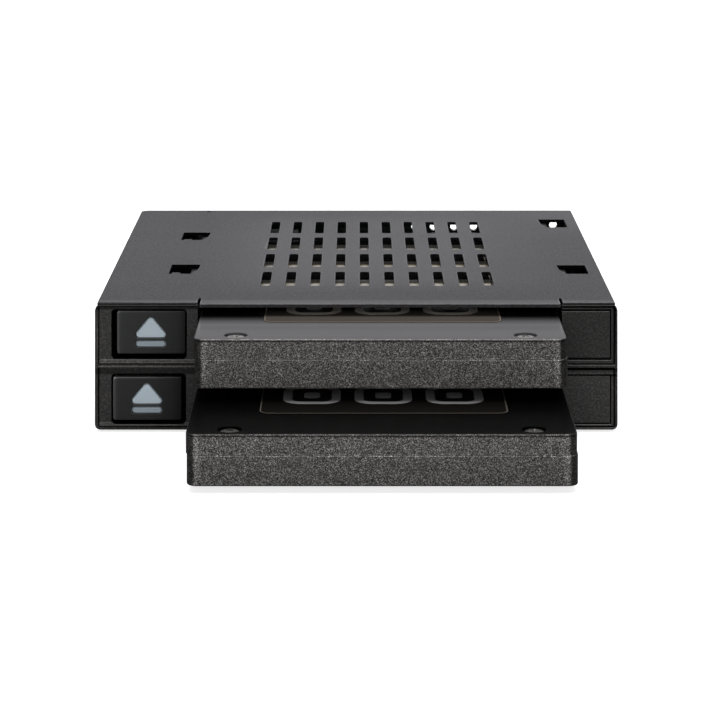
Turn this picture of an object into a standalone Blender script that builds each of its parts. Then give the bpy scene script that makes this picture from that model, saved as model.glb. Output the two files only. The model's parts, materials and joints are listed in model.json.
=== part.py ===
"""Two-bay trayless docking cage for 2.5 inch solid state drives, sized for an external 3.5 inch bay.

A steel cage (bottom chassis and top cover) carries a plastic bezel, two plastic side guides, a
divider shelf and a backplane. Each bay holds a drive and has an eject button. The button's push
rod turns a lever about a pin at the back left corner, and the lever drives an eject slider
against the rear of the drive.

Sizes are in millimetres, with x to the right, y from the bezel's face into the cage and z up from
the cage's underside. Everything is scaled to metres and shifted along y, so that the origin is
the centre of the cage's underside. Shells that cut a hole run past the faces they open.
"""

import math
from typing import NamedTuple

import bmesh
import bpy
from mathutils import Vector

for old in list(bpy.data.objects):
    bpy.data.objects.remove(old, do_unlink=True)

MM = 0.001
SIDES = (-1, 1)  # left, right

# ---------------------------------------------------------------- driving dimensions
# Cage
CAGE_W = 101.0
CAGE_D = 107.0
SHEET = 0.8  # chassis sheet
GAP = 0.3  # between touching pieces
COVER_T = 0.7
COVER_TOP = 24.7
COVER_FRONT = 1.5
COVER_BOTTOM = COVER_TOP - COVER_T
WALL_OUT = CAGE_W / 2
WALL_IN = WALL_OUT - SHEET
WALL_TOP = COVER_BOTTOM - GAP
INSIDE_BOTTOM = SHEET + GAP  # underside of the pieces that stand on the floor
Y_SHIFT = -CAGE_D / 2

# Bezel
BEZEL_W = 101.6  # width of an external 3.5 inch bay device
BEZEL_BOTTOM, BEZEL_TOP = 0.25, 24.45
BEZEL_FLANGE_T = 1.2
BEZEL_D = 9.8
SLOT_LEFT, SLOT_RIGHT = -30.8, 40.0  # drive opening

# Backplane
BOARD_BACK = CAGE_D
BOARD_FRONT = BOARD_BACK - 1.6
BOARD_CONTACT = BOARD_FRONT - GAP  # back of whatever sits against the board
BOARD_SCREW_X, BOARD_SCREW_Z = 46.0, 12.5

# Drives
DRIVE_W, DRIVE_L, DRIVE_T = 69.85, 100.0, 9.3
DRIVE_X = 4.6
BAY_PITCH = 11.8
UPPER_Z = 12.9
DOCKED_FRONT = 1.0  # y of a drive's front when it is home

# Eject mechanism
TRAVEL = 4.0  # of a button
ROD_X = -45.0
ROD_RISE = 4.9  # push rod above the underside of its drive
PIVOT = (-36.5, 100.0)
PIN_R = 1.2
PIN_CLEARANCE = 0.15
LEVER_TURN = math.radians(27.1)  # over the whole button travel
SLIDER_RATIO = 2.4  # slider travel over button travel
ROD_GUIDE_Y = {"front": 27.0, "rear": 86.0}  # front faces of the rod guides


class Bay(NamedTuple):
    """What differs between the two bays."""

    name: str
    z: float  # underside of the drive
    out: float  # how far the drive stands out of the bezel
    pressed: float  # how deep the button rests
    button: tuple  # x, z of the button's centre
    pocket: tuple  # x0, x1, z0, z1 of the button's pocket
    connector_z: float  # underside of the connectors behind the backplane

    @property
    def rod_z(self):
        return self.z + ROD_RISE


UPPER = Bay(
    "upper", z=UPPER_Z, out=19.8, pressed=1.2, button=(-39.93, 18.86),
    pocket=(-47.6, -32.95, 13.83, 23.63), connector_z=13.0,
)
LOWER = Bay(
    "lower", z=UPPER_Z - BAY_PITCH, out=43.0, pressed=0.0, button=(-40.6, 6.26),
    pocket=(-47.6, -33.1, 1.3, 11.1), connector_z=3.0,
)
BAYS = (UPPER, LOWER)


# ---------------------------------------------------------------- materials
def make_material(name, colour, roughness, metallic=0.0):
    made = bpy.data.materials.new(name)
    made.use_nodes = True
    inputs = made.node_tree.nodes["Principled BSDF"].inputs
    inputs["Base Color"].default_value = (*colour, 1.0)
    inputs["Roughness"].default_value = roughness
    inputs["Metallic"].default_value = metallic
    return made


BLACK_STEEL = make_material("black_steel", colour=(0.10, 0.10, 0.11), roughness=0.55, metallic=0.3)
BLACK_ABS = make_material("black_abs", colour=(0.018, 0.018, 0.02), roughness=0.55)
BUTTON_ABS = make_material("button_abs", colour=(0.014, 0.014, 0.016), roughness=0.4)
GUIDE_PLASTIC = make_material("guide_plastic", colour=(0.03, 0.03, 0.032), roughness=0.6)
BRIGHT_STEEL = make_material("bright_steel", colour=(0.62, 0.62, 0.62), roughness=0.3, metallic=1.0)
ZINC = make_material("zinc", colour=(0.5, 0.51, 0.52), roughness=0.4, metallic=1.0)
BLACK_SCREW = make_material("black_screw", colour=(0.03, 0.03, 0.032), roughness=0.4, metallic=0.7)
LENS = make_material("lens", colour=(0.33, 0.39, 0.43), roughness=0.35)
BOARD = make_material("board", colour=(0.012, 0.06, 0.035), roughness=0.5)
CONNECTOR = make_material("connector", colour=(0.015, 0.015, 0.017), roughness=0.5)
LED = make_material("led", colour=(0.75, 0.8, 0.82), roughness=0.3)
RIBBON = make_material("ribbon", colour=(0.42, 0.43, 0.45), roughness=0.5)
DRIVE_LID = make_material("drive_lid", colour=(0.15, 0.145, 0.155), roughness=0.45, metallic=0.4)
DRIVE_BASE = make_material("drive_base", colour=(0.10, 0.095, 0.095), roughness=0.6, metallic=0.5)
LABEL = make_material("label", colour=(0.05, 0.045, 0.045), roughness=0.3)


# ---------------------------------------------------------------- outlines, as (u, v) points
def rectangle(u0, u1, v0, v1):
    return [(u0, v0), (u1, v0), (u1, v1), (u0, v1)]


def circle(u, v, radius, sides):
    angles = [2 * math.pi * i / sides for i in range(sides)]
    return [(u + radius * math.cos(angle), v + radius * math.sin(angle)) for angle in angles]


def arc(centre, radius, start, end, steps):
    angles = [start + (end - start) * i / steps for i in range(steps + 1)]
    return [
        (centre[0] + radius * math.cos(angle), centre[1] + radius * math.sin(angle))
        for angle in angles
    ]


def rounded(u0, u1, v0, v1, radius, steps=4):
    """A rectangle with its corners rounded, anticlockwise."""
    outline = []
    for u, v, start in (
        (u1 - radius, v0 + radius, -90),
        (u1 - radius, v1 - radius, 0),
        (u0 + radius, v1 - radius, 90),
        (u0 + radius, v0 + radius, 180),
    ):
        outline += arc((u, v), radius, math.radians(start), math.radians(start + 90), steps)
    return outline


def rounded_polygon(corners, radius, steps=4):
    """A convex polygon, anticlockwise, with each corner rounded."""
    outline = []
    for i, corner in enumerate(corners):
        corner = Vector(corner)
        back = (Vector(corners[i - 1]) - corner).normalized()
        ahead = (Vector(corners[(i + 1) % len(corners)]) - corner).normalized()
        half = back.angle(ahead) / 2
        centre = corner + (back + ahead).normalized() * (radius / math.sin(half))
        reach = radius / math.tan(half)  # from the corner to where the arc begins and ends
        from_centre = [corner + way * reach - centre for way in (back, ahead)]
        start, end = [math.atan2(offset.y, offset.x) for offset in from_centre]
        if end < start:
            end += 2 * math.pi
        outline += arc(centre, radius, start, end, steps)
    return outline


def turned(points, centre, angle):
    """Points turned anticlockwise about a centre."""
    cos, sin = math.cos(angle), math.sin(angle)
    return [
        (
            centre[0] + (x - centre[0]) * cos - (y - centre[1]) * sin,
            centre[1] + (x - centre[0]) * sin + (y - centre[1]) * cos,
        )
        for x, y in points
    ]


def band(path, half_width, cap_points):
    """A strip of constant width along a path, with mitred bends.

    cap_points is the number of points that round each end; 0 leaves the ends square.
    """
    path = [Vector(point) for point in path]
    left, right = [], []
    for i, point in enumerate(path):
        before = (point - path[i - 1]).normalized() if i else None
        after = (path[i + 1] - point).normalized() if i + 1 < len(path) else None
        along = ((before or after) + (after or before)).normalized()
        normal = Vector((-along.y, along.x))
        leg = after or before
        # A mitre is longer than the half width; the floor keeps sharp bends from spiking.
        stretch = half_width / max(0.4, normal.dot(Vector((-leg.y, leg.x))))
        left.append(point + normal * stretch)
        right.append(point - normal * stretch)

    def cap(centre, start):
        return [
            turned([start], centre, -math.pi * (k + 1) / (cap_points + 1))[0]
            for k in range(cap_points)
        ]

    outline = left + cap(path[-1], left[-1]) + right[::-1] + cap(path[0], right[0])
    return [(x, y) for x, y in outline][::-1]


def smooth_path(corners, reach, steps=4):
    """A path whose bends become curves, each beginning and ending at a reach from its corner."""
    path = [corners[0]]
    for i in range(1, len(corners) - 1):
        corner = Vector(corners[i])
        start = corner + (Vector(corners[i - 1]) - corner).normalized() * reach
        end = corner + (Vector(corners[i + 1]) - corner).normalized() * reach
        for k in range(steps + 1):
            t = k / steps
            point = start * (1 - t) ** 2 + corner * (2 * t * (1 - t)) + end * t**2
            path.append((point.x, point.y))
    return path + [corners[-1]]


# ---------------------------------------------------------------- closed shells, as (points, faces)
def prism(outline, axis, low, high):
    """An outline run along an axis. Its pairs are (x, y) for z, (x, z) for y and (y, z) for x."""
    to_xyz = {
        "z": lambda u, v, along: (u, v, along),
        "y": lambda u, v, along: (u, along, v),
        "x": lambda u, v, along: (along, u, v),
    }[axis]
    n = len(outline)
    points = [to_xyz(u, v, along) for along in (low, high) for u, v in outline]
    faces = [list(range(n))[::-1], list(range(n, 2 * n))]
    faces += [[i, (i + 1) % n, n + (i + 1) % n, n + i] for i in range(n)]
    return points, faces


def box(x0, x1, y0, y1, z0, z1):
    return prism(rectangle(x0, x1, y0, y1), "z", z0, z1)


def rod(u, v, radius, axis, low, high, sides=20):
    return prism(circle(u, v, radius, sides), axis, low, high)


def cone(u, v, low_radius, high_radius, axis, low, high, sides):
    low_points, faces = rod(u, v, low_radius, axis, low, high, sides)
    high_points, _ = rod(u, v, high_radius, axis, low, high, sides)
    return low_points[:sides] + high_points[sides:], faces


def cross(u, v, reach, half_width, axis, low, high):
    """Two crossed slots for a screw head, as one group each because they overlap."""
    return [
        [prism(rectangle(u - du, u + du, v - dv, v + dv), axis, low, high)]
        for du, dv in ((reach, half_width), (half_width, reach))
    ]


def moved(shell, offset):
    points, faces = shell
    return [tuple(a + b for a, b in zip(point, offset)) for point in points], faces


def span(side, near, far):
    """The x range between two distances from the middle, on one side of it."""
    return sorted((side * near, side * far))


# ---------------------------------------------------------------- objects
def mesh_of(name, shells, origin):
    build = bmesh.new()
    for points, faces in shells:
        verts = [
            build.verts.new([(value - start) * MM for value, start in zip(point, origin)])
            for point in points
        ]
        for face in faces:
            build.faces.new([verts[i] for i in face])
    bmesh.ops.recalc_face_normals(build, faces=build.faces)
    mesh = bpy.data.meshes.new(name)
    build.to_mesh(mesh)
    build.free()
    return mesh


def place(item, origin, parent=None):
    location = Vector((origin[0] * MM, (origin[1] + Y_SHIFT) * MM, origin[2] * MM))
    if parent is not None:
        item.parent = parent
        location = location - parent.location
    item.location = location
    bpy.context.scene.collection.objects.link(item)
    return item


def empty(name, origin):
    axis = bpy.data.objects.new(name, None)
    axis.empty_display_size = 0.01
    return place(axis, origin)


def combine(target, operation, shells, origin, tool_name, modifier_name):
    """Joins shells to a piece or cuts them out of it. The shells don't touch one another."""
    tool = bpy.data.objects.new(tool_name, mesh_of(tool_name, shells, origin))
    place(tool, origin, target.parent)
    tool.hide_render = True
    tool.display_type = "WIRE"
    modifier = target.modifiers.new(modifier_name, "BOOLEAN")
    modifier.operation = operation
    modifier.solver = "EXACT"
    modifier.object = tool


def combine_tagged(target, operation, shells, origin, tag):
    combine(target, operation, shells, origin, f"{target.name}_{tag}", tag)


def piece(name, shell, finish, origin, parent=None, add=(), cut=(), smooth=False):
    """A closed shell, then groups of shells joined to it, then groups cut out of it."""
    mesh = mesh_of(name, [shell], origin)
    mesh.materials.append(finish)
    if smooth:
        mesh.shade_smooth()
        mesh.set_sharp_from_angle(angle=math.radians(35))
    made = place(bpy.data.objects.new(name, mesh), origin, parent)
    for operation, groups in (("UNION", add), ("DIFFERENCE", cut)):
        for i, shells in enumerate(groups):
            tool_name = f"{name}_{operation.lower()}_{i}"
            combine(made, operation, shells, origin, tool_name, f"{operation.title()} {i}")
    return made


# ---------------------------------------------------------------- vents and side screws
VENT_X, VENT_PITCH = 4.22, 5.018  # middle of the columns, and their spacing
VENT_W, VENT_L = 1.9, 14.3
VENT_ROWS = [18.0 + 19.7 * i for i in range(4)]
SCREW_Y, SCREW_Z = {"front": 45.0, "rear": 97.0}, 20.5


def vent_slots(columns, rows, corner, low, high):
    """Slots with their corners chamfered."""
    middles = [VENT_X + (i - (columns - 1) / 2) * VENT_PITCH for i in range(columns)]
    return [
        prism(rounded(x - VENT_W / 2, x + VENT_W / 2, y, y + VENT_L, corner, 1), "z", low, high)
        for x in middles
        for y in rows
    ]


def side_cone(side, y, inner_radius, outer_radius, inner, outer):
    """A cone on the axis of a side screw, between two distances from the middle of the cage."""
    radii = (inner_radius, outer_radius)[::side]
    return cone(y, SCREW_Z, *radii, "x", *span(side, inner, outer), 16)


# ---------------------------------------------------------------- bottom chassis
FIXING_Y = (21.0, 21.0 + 70.0)  # fixing holes of a 3.5 inch bay device, 70 mm apart
FIXING_R = 1.3
SIDE_FIXING_Z = 5.0
FLOOR_FIXING_X = 47.6
TAB_INNER_X = 43.5
TAB_Z = (9.5, 15.5)


def bottom_chassis():
    walls = [
        (-WALL_OUT, 0), (WALL_OUT, 0), (WALL_OUT, WALL_TOP), (WALL_IN, WALL_TOP),
        (WALL_IN, SHEET), (-WALL_IN, SHEET), (-WALL_IN, WALL_TOP), (-WALL_OUT, WALL_TOP),
    ]
    tabs = [
        box(*span(side, TAB_INNER_X, WALL_IN + 0.3), BOARD_CONTACT - SHEET, BOARD_CONTACT, *TAB_Z)
        for side in SIDES
    ]
    fixings = [(side, y) for side in SIDES for y in FIXING_Y]
    floor_holes = [rod(s * FLOOR_FIXING_X, y, FIXING_R, "z", -1, 2, 16) for s, y in fixings]
    side_holes = [rod(y, SIDE_FIXING_Z, FIXING_R, "x", *span(s, 48, 52), 16) for s, y in fixings]
    countersinks = [
        side_cone(side, y, 1.35, 2.85, WALL_OUT - 1.3, WALL_OUT + 0.2)
        for side in SIDES
        for y in SCREW_Y.values()
    ]
    tab_holes = [
        rod(side * BOARD_SCREW_X, BOARD_SCREW_Z, 1.35, "y", 104, 105.4, 12) for side in SIDES
    ]
    piece(
        "bottom_chassis", prism(walls, "y", COVER_FRONT, CAGE_D), BLACK_STEEL, (0, CAGE_D / 2, 0),
        add=[tabs],
        cut=[
            [box(SLOT_LEFT - GAP, SLOT_RIGHT + GAP, 0, BEZEL_D, -1, 2)],
            vent_slots(8, VENT_ROWS[1:], 0.5, -1, 2) + floor_holes,
            side_holes + countersinks,
            tab_holes,
        ],
    )


# ---------------------------------------------------------------- top cover
COVER_CORNER_R = 1.6  # of the back left corner
# The front edge, as x, y from left to right; its middle reaches forward over the drive opening
COVER_FRONT_EDGE = [
    (-WALL_OUT, COVER_FRONT), (-31.0, COVER_FRONT), (-31.0, 5.6), (-30.4, 5.6), (-30.4, 0.0),
    (39.7, 0.0), (39.7, 5.6), (40.3, 5.6), (40.3, COVER_FRONT), (WALL_OUT, COVER_FRONT),
]
THROUGH_COVER = (20, 30)
WINDOW_W = 6.05
WINDOW_OUTER_X = {-1: -38.7, 1: 47.9}
# side, front edge and back edge of each punched window
WINDOWS = [(-1, 30.4, 40.2), (-1, 68.6, 77.8), (1, 30.2, 39.4), (1, 84.4, 94.6)]
TONGUE_X = (-38.3, -36.6)
# y from the window's front edge, z from the cover's top
TONGUE_PROFILE = [(-1.0, -0.25), (5.2, -0.75), (5.2, -1.3), (-1.0, -0.65)]
COVER_FLANGE_X, COVER_FLANGE_T = 48.95, 0.7


def cover_window(side, front, back):
    """A punched window with its inner front corner cut away."""
    outer = WINDOW_OUTER_X[side]
    inner = outer - side * WINDOW_W
    outline = [
        (outer, front), (inner + side * 1.15, front), (inner + side * 1.0, front + 2.0),
        (inner + side * 0.3, front + 4.4), (inner, back), (outer, back),
    ]
    return prism(outline[::-side], "z", *THROUGH_COVER)


def cover_tongue(front):
    """A tongue bent down a little from the front edge of a left window."""
    outline = [(front + y, COVER_TOP + z) for y, z in TONGUE_PROFILE]
    return prism(outline, "x", *TONGUE_X)


def top_cover():
    corner_centre = (-WALL_OUT + COVER_CORNER_R, CAGE_D - COVER_CORNER_R)
    corner = arc(corner_centre, COVER_CORNER_R, math.pi / 2, math.pi, 4)
    outline = COVER_FRONT_EDGE + [(WALL_OUT, CAGE_D)] + corner
    origin = (0, CAGE_D / 2, COVER_TOP)
    cover = piece("top_cover", prism(outline, "z", COVER_BOTTOM, COVER_TOP), BLACK_STEEL, origin)

    half = COVER_FLANGE_T / 2
    flanges = [
        box(x - half, x + half, 12, 105, 17, COVER_BOTTOM + COVER_T / 2)
        for x in (-COVER_FLANGE_X, COVER_FLANGE_X)
    ]
    openings = vent_slots(10, VENT_ROWS, 0.35, *THROUGH_COVER)
    openings += [cover_window(*window) for window in WINDOWS]
    openings.append(rod(-34.6, 105.3, 0.5, "z", *THROUGH_COVER, 8))
    tongues = [cover_tongue(front) for side, front, _ in WINDOWS if side < 0]
    screw_holes = [
        rod(y, SCREW_Z, 1.35, "x", *span(side, 47, 50), 16)
        for side in SIDES
        for y in SCREW_Y.values()
    ]
    combine_tagged(cover, "UNION", flanges, origin, "flanges")
    combine_tagged(cover, "DIFFERENCE", openings, origin, "vents")
    combine_tagged(cover, "UNION", tongues, origin, "tongues")
    combine_tagged(cover, "DIFFERENCE", screw_holes, origin, "flange_holes")


# ---------------------------------------------------------------- bezel
PANEL_OPEN_X = SLOT_LEFT + 1  # the left panels and grooves run out into the drive opening
PANEL_LEFT = -50.1
PANEL_DEPTH = 0.35
PANEL_SLOPE = 0.55  # height of the sloped lower edge
PANELS_Z = ((13.25, 24.18), (1.1, 12.36))
LEFT_GROOVE_DEPTH, RIGHT_GROOVE_DEPTH = 0.8, 0.9
# open x, outer x, bottom, top, inner x, inner bottom, inner top
UPPER_LEFT_GROOVE = (PANEL_OPEN_X, -50.15, 12.9, 24.2, -49.95, 13.15, 24.0)
RIGHT_GROOVES = [
    (38, 50.3, 12.86, 24.2, 49.98, 13.14, 23.92),
    (38, 49.55, 13.8, 23.62, 49.3, 14.25, 23.27),
    (38, 50.3, 0.65, 12.3, 49.98, 1.0, 11.75),
    (38, 49.55, 1.3, 11.0, 49.3, 1.62, 10.72),
]
# x, z of the groove below and to the left of the lower button's panel
LOWER_LEFT_GROOVE = [
    (PANEL_OPEN_X, 0.82), (PANEL_OPEN_X, 1.0), (-49.95, 1.0),
    (-49.95, 12.3), (-50.15, 12.3), (-50.15, 0.82),
]
# y, z of the slope under the ridge between the left panels
RIDGE_SLOPE = [(-1, 12.94), (0.28, 12.94), (0, 12.5), (-1, 12.5)]


def three_sided_groove(open_x, outer_x, z0, z1, inner_x, inner_z0, inner_z1, depth):
    """A channel round three sides of a panel, open at open_x."""
    outline = [
        (open_x, z0), (outer_x, z0), (outer_x, z1), (open_x, z1),
        (open_x, inner_z1), (inner_x, inner_z1), (inner_x, inner_z0), (open_x, inner_z0),
    ]
    return prism(outline, "y", -1, depth)


def button_panel(z0, z1):
    """A sunk panel round a button, with a sloped lower edge."""
    slope_top = (PANEL_DEPTH, z0 + PANEL_SLOPE)
    outline = [(-1, z0), (0, z0), slope_top, (PANEL_DEPTH, z1), (-1, z1)]
    return prism(outline, "x", PANEL_LEFT, PANEL_OPEN_X)


def front_bezel():
    half = BEZEL_W / 2
    body_x = WALL_IN - GAP
    bodies = [
        box(x0, x1, 0.5, BEZEL_D, INSIDE_BOTTOM, WALL_TOP)
        for x0, x1 in ((-body_x, SLOT_LEFT), (SLOT_RIGHT, body_x))
    ]
    sill = box(SLOT_LEFT, SLOT_RIGHT, 0.4, BEZEL_D - GAP, BEZEL_BOTTOM, SHEET)
    pockets = [
        prism(rounded(*bay.pocket, 0.8, 3), "y", -1, BEZEL_D - 1.0) for bay in BAYS
    ]
    back_holes = []  # one for the push rod and one behind the button's middle, per bay
    for bay in BAYS:
        x, z = bay.button
        back_holes += [
            box(ROD_X - 1.3, ROD_X + 1.3, 7, 12, bay.rod_z - 1.4, bay.rod_z + 1.4),
            box(x - 1.6, x + 1.6, 7, 12, z - 1.2, z + 1.2),
        ]
    left_grooves = [
        three_sided_groove(*UPPER_LEFT_GROOVE, LEFT_GROOVE_DEPTH),
        prism(LOWER_LEFT_GROOVE, "y", -1, LEFT_GROOVE_DEPTH),
    ]
    flange = rounded(-half, half, BEZEL_BOTTOM, BEZEL_TOP, 1.0, 3)
    piece(
        "front_bezel", prism(flange, "y", 0, BEZEL_FLANGE_T), BLACK_ABS, (0, 0, 0),
        add=[bodies, [sill]],
        cut=[
            [box(SLOT_LEFT, SLOT_RIGHT, -1, 12, SHEET, 30)],
            pockets,
            back_holes,
            [button_panel(*heights) for heights in PANELS_Z],
            left_grooves,
            [prism(RIDGE_SLOPE, "x", -50.12, PANEL_OPEN_X)],
            [three_sided_groove(*groove, RIGHT_GROOVE_DEPTH) for groove in RIGHT_GROOVES],
        ],
    )


# ---------------------------------------------------------------- shelf and guides
SHELF_W = 72.6
SHELF_Z = (11.8, 12.5)
SHELF_GROOVE_Z = (11.5, 12.8)  # groove for the shelf in each side guide
SHELF_VENT_W, SHELF_VENT_L = 5.0, 16
ROD_GUIDE_X = (-48.3, -41.5)
ROD_GUIDE_L = 4


def divider_shelf():
    vents = [
        prism(
            rounded(x - SHELF_VENT_W / 2, x + SHELF_VENT_W / 2, y, y + SHELF_VENT_L, 1.5, 2),
            "z", 10, 14,
        )
        for x in (-16, -2, 12, 26)
        for y in (30, 60)
    ]
    front_notches = [box(-33, -30.7, 0, 10.2, 10, 14), box(39.9, 42, 0, 10.2, 10, 14)]
    piece(
        "divider_shelf",
        box(DRIVE_X - SHELF_W / 2, DRIVE_X + SHELF_W / 2, 1.0, 98.0, *SHELF_Z),
        BLACK_STEEL, (DRIVE_X, 50, sum(SHELF_Z) / 2),
        cut=[vents + front_notches],
    )


def side_guides():
    channels = [box(-32.2, -30, 73.5, 95, bay.z + 6.6, bay.z + 9.1) for bay in BAYS]
    piece(
        "left_drive_guide", box(-34.5, -30.6, 11.5, 93.5, INSIDE_BOTTOM, WALL_TOP),
        GUIDE_PLASTIC, (-32.5, 52, INSIDE_BOTTOM),
        cut=[[box(-32.0, -30, 9, 95, *SHELF_GROOVE_Z)], channels],
    )
    piece(
        "right_drive_guide", box(39.8, 43.7, 10.2, 98.0, INSIDE_BOTTOM, WALL_TOP),
        GUIDE_PLASTIC, (41.7, 54, INSIDE_BOTTOM),
        cut=[[box(39, 41.2, 9, 99, *SHELF_GROOVE_Z)]],
    )


def rod_guide(tag, front):
    back = front + ROD_GUIDE_L
    rod_holes = [
        box(
            ROD_X - 1.1, ROD_X + 1.1, front - 1, back + 1, bay.rod_z - 1.2, bay.rod_z + 1.2
        )
        for bay in BAYS
    ]
    cable_notch = box(-50, -46.9, front - 1, back + 1, 10.4, 14.2)
    piece(
        f"{tag}_rod_guide", box(*ROD_GUIDE_X, front, back, INSIDE_BOTTOM, WALL_TOP),
        GUIDE_PLASTIC, (ROD_X, (front + back) / 2, INSIDE_BOTTOM),
        cut=[rod_holes + [cable_notch]],
    )


# ---------------------------------------------------------------- backplane and its connectors
BOARD_HALF_W = 49.3
# x, z, radius of the holes
BOARD_HOLES = [
    (13.75, 21.1, 0.9), (18.1, 21.1, 0.9), (22.9, 21.1, 0.9), (27.5, 21.1, 0.9),
    (46.2, 21.5, 0.95),
    (-BOARD_SCREW_X, BOARD_SCREW_Z, 1.5), (BOARD_SCREW_X, BOARD_SCREW_Z, 1.5),
]
REAR_CONNECTOR_X = {"data": (9.0, 25.5), "power": (-26.0, -2.0)}
REAR_CONNECTOR_FRONT, REAR_CONNECTOR_BACK = BOARD_BACK + GAP, 113.8
REAR_CONNECTOR_H = 5.2


def backplane_board():
    piece(
        "backplane_board",
        box(-BOARD_HALF_W, BOARD_HALF_W, BOARD_FRONT, BOARD_BACK, INSIDE_BOTTOM, WALL_TOP),
        BOARD, (0, BOARD_FRONT, INSIDE_BOTTOM),
        cut=[[rod(*hole, "y", 104, 108, 12) for hole in BOARD_HOLES]],
    )


def drive_socket(bay):
    z = bay.z
    piece(
        f"{bay.name}_drive_socket", box(-5.4, 37.6, 102.6, BOARD_CONTACT, z + 1.5, z + 7.0),
        CONNECTOR, (16.1, BOARD_CONTACT, z + 4.2),
        add=[[box(-3.4, 35.4, 97.0, 103.0, z + 2.7, z + 6.7)]],
        cut=[[box(-2.0, 34.2, 96.0, 101.6, z + 3.9, z + 5.7)]],
    )


def rear_connector(bay, kind, left, right):
    z = bay.connector_z
    origin = ((left + right) / 2, REAR_CONNECTOR_FRONT, z)
    housing = piece(
        f"{bay.name}_{kind}_connector",
        box(left, right, REAR_CONNECTOR_FRONT, REAR_CONNECTOR_BACK, z, z + REAR_CONNECTOR_H),
        CONNECTOR, origin,
        cut=[[box(left + 1.0, right - 1.0, 108.8, 115, z + 0.9, z + 4.3)]],
    )
    blade = box(left + 2.2, right - 2.6, 108.0, 113.2, z + 2.1, z + 3.1)
    combine_tagged(housing, "UNION", [blade], origin, "blade")


# ---------------------------------------------------------------- button lights and their cable
LIGHT_BOARD_FRONT = BEZEL_D + GAP
LIGHT_BOARD_BACK = LIGHT_BOARD_FRONT + 1.0
# x, y of the cable's corners, from the light board to the backplane
CABLE_CORNERS = [
    (-41.0, LIGHT_BOARD_BACK + GAP), (-41.0, 15.0), (-47.55, 20.0),
    (-47.55, 93.0), (-41.5, 100.0), (-41.5, BOARD_CONTACT),
]
CABLE_T = 0.5
CABLE_Z = (10.8, 13.8)


def button_light_board():
    piece(
        "button_light_board", box(-42.2, -33.0, LIGHT_BOARD_FRONT, LIGHT_BOARD_BACK, 2.5, 22.8),
        BOARD, (-37.6, LIGHT_BOARD_FRONT, 12.6),
    )


def button_light(bay):
    x, z = bay.button
    piece(
        f"{bay.name}_button_light", box(x - 1.2, x + 1.2, 9.1, 9.95, z - 0.8, z + 0.8),
        LED, (x, 9.9, z),
    )


def light_ribbon_cable():
    outline = band(smooth_path(CABLE_CORNERS, 2.0), CABLE_T / 2, 0)
    origin = (*CABLE_CORNERS[-1], sum(CABLE_Z) / 2)
    piece("light_ribbon_cable", prism(outline, "z", *CABLE_Z), RIBBON, origin)


# ---------------------------------------------------------------- fasteners of the cage
CAGE_SHANK_R = 1.15


def cover_screw(name, side, y):
    shank = rod(y, SCREW_Z, CAGE_SHANK_R, "x", *span(side, 47.0, WALL_OUT - 1.0), 16)
    slot_x = span(side, WALL_OUT - 0.75, WALL_OUT + 0.3)
    piece(
        name, side_cone(side, y, 1.25, 2.5, WALL_OUT - 1.2, WALL_OUT - 0.06),
        BLACK_SCREW, (side * WALL_OUT, y, SCREW_Z),
        add=[[shank]],
        cut=cross(y, SCREW_Z, 1.3, 0.25, "x", *slot_x),
        smooth=True,
    )


def backplane_screw(name, x):
    z = BOARD_SCREW_Z
    piece(
        name, rod(x, z, 2.2, "y", 107.2, 108.4, 16), BRIGHT_STEEL, (x, 107.2, z),
        add=[[rod(x, z, CAGE_SHANK_R, "y", 102.5, 107.5, 16)]],
        cut=cross(x, z, 1.2, 0.25, "y", 107.9, 109),
        smooth=True,
    )


# ---------------------------------------------------------------- lever pin and its spacers
HUB_R, HUB_HALF_T = 2.8, 0.7  # of the lever's boss round the pin
SPACER_R = 2.6


def lever_pin():
    piece(
        "lever_pin", rod(*PIVOT, PIN_R, "z", 1.0, 23.8, 24), BRIGHT_STEEL, (*PIVOT, 1.0),
        smooth=True,
    )


def lever_spacers():
    clear = HUB_HALF_T + GAP
    for tag, z0, z1 in (
        ("lower", INSIDE_BOTTOM, LOWER.rod_z - clear),
        ("middle", LOWER.rod_z + clear, UPPER.rod_z - clear),
        ("upper", UPPER.rod_z + clear, WALL_TOP),
    ):
        piece(
            f"lever_spacer_{tag}", rod(*PIVOT, SPACER_R, "z", z0, z1, 24), ZINC, (*PIVOT, z0),
            cut=[[rod(*PIVOT, PIN_R + PIN_CLEARANCE, "z", z0 - 1, z1 + 1, 24)]],
            smooth=True,
        )


# ---------------------------------------------------------------- eject button
BUTTON_W, BUTTON_H, BUTTON_D = 13.3, 8.35, 4.2
BUTTON_FACE = 0.3  # y of the face when the button isn't pressed
ICON_W, TRIANGLE_H, BAR_H, ICON_GAP = 5.5, 3.68, 0.98, 0.8
ICON_SHIFT = (-0.12, -0.04)  # x, z from the button's centre


def button_face(bay):
    return BUTTON_FACE + bay.pressed


def icon(bay, margin, y0, y1):
    """The eject sign, a triangle over a bar, with each grown by a margin."""
    x = bay.button[0] + ICON_SHIFT[0]
    bottom = bay.button[1] + ICON_SHIFT[1] - (TRIANGLE_H + ICON_GAP + BAR_H) / 2
    base = bottom + BAR_H + ICON_GAP
    # The corners lie beyond the visible triangle, because rounding draws them in.
    reach = ICON_W / 2 + 0.6 + 2.2 * margin
    apex = base + TRIANGLE_H + 0.32 + 1.5 * margin
    triangle = rounded_polygon(
        [(x - reach, base - margin), (x + reach, base - margin), (x, apex)], 0.52 + margin
    )
    half = ICON_W / 2 + margin
    bar = rounded(
        x - half, x + half, bottom - margin, bottom + BAR_H + margin, 0.45 + margin / 2, 3
    )
    return [prism(triangle, "y", y0, y1), prism(bar, "y", y0, y1)]


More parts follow.
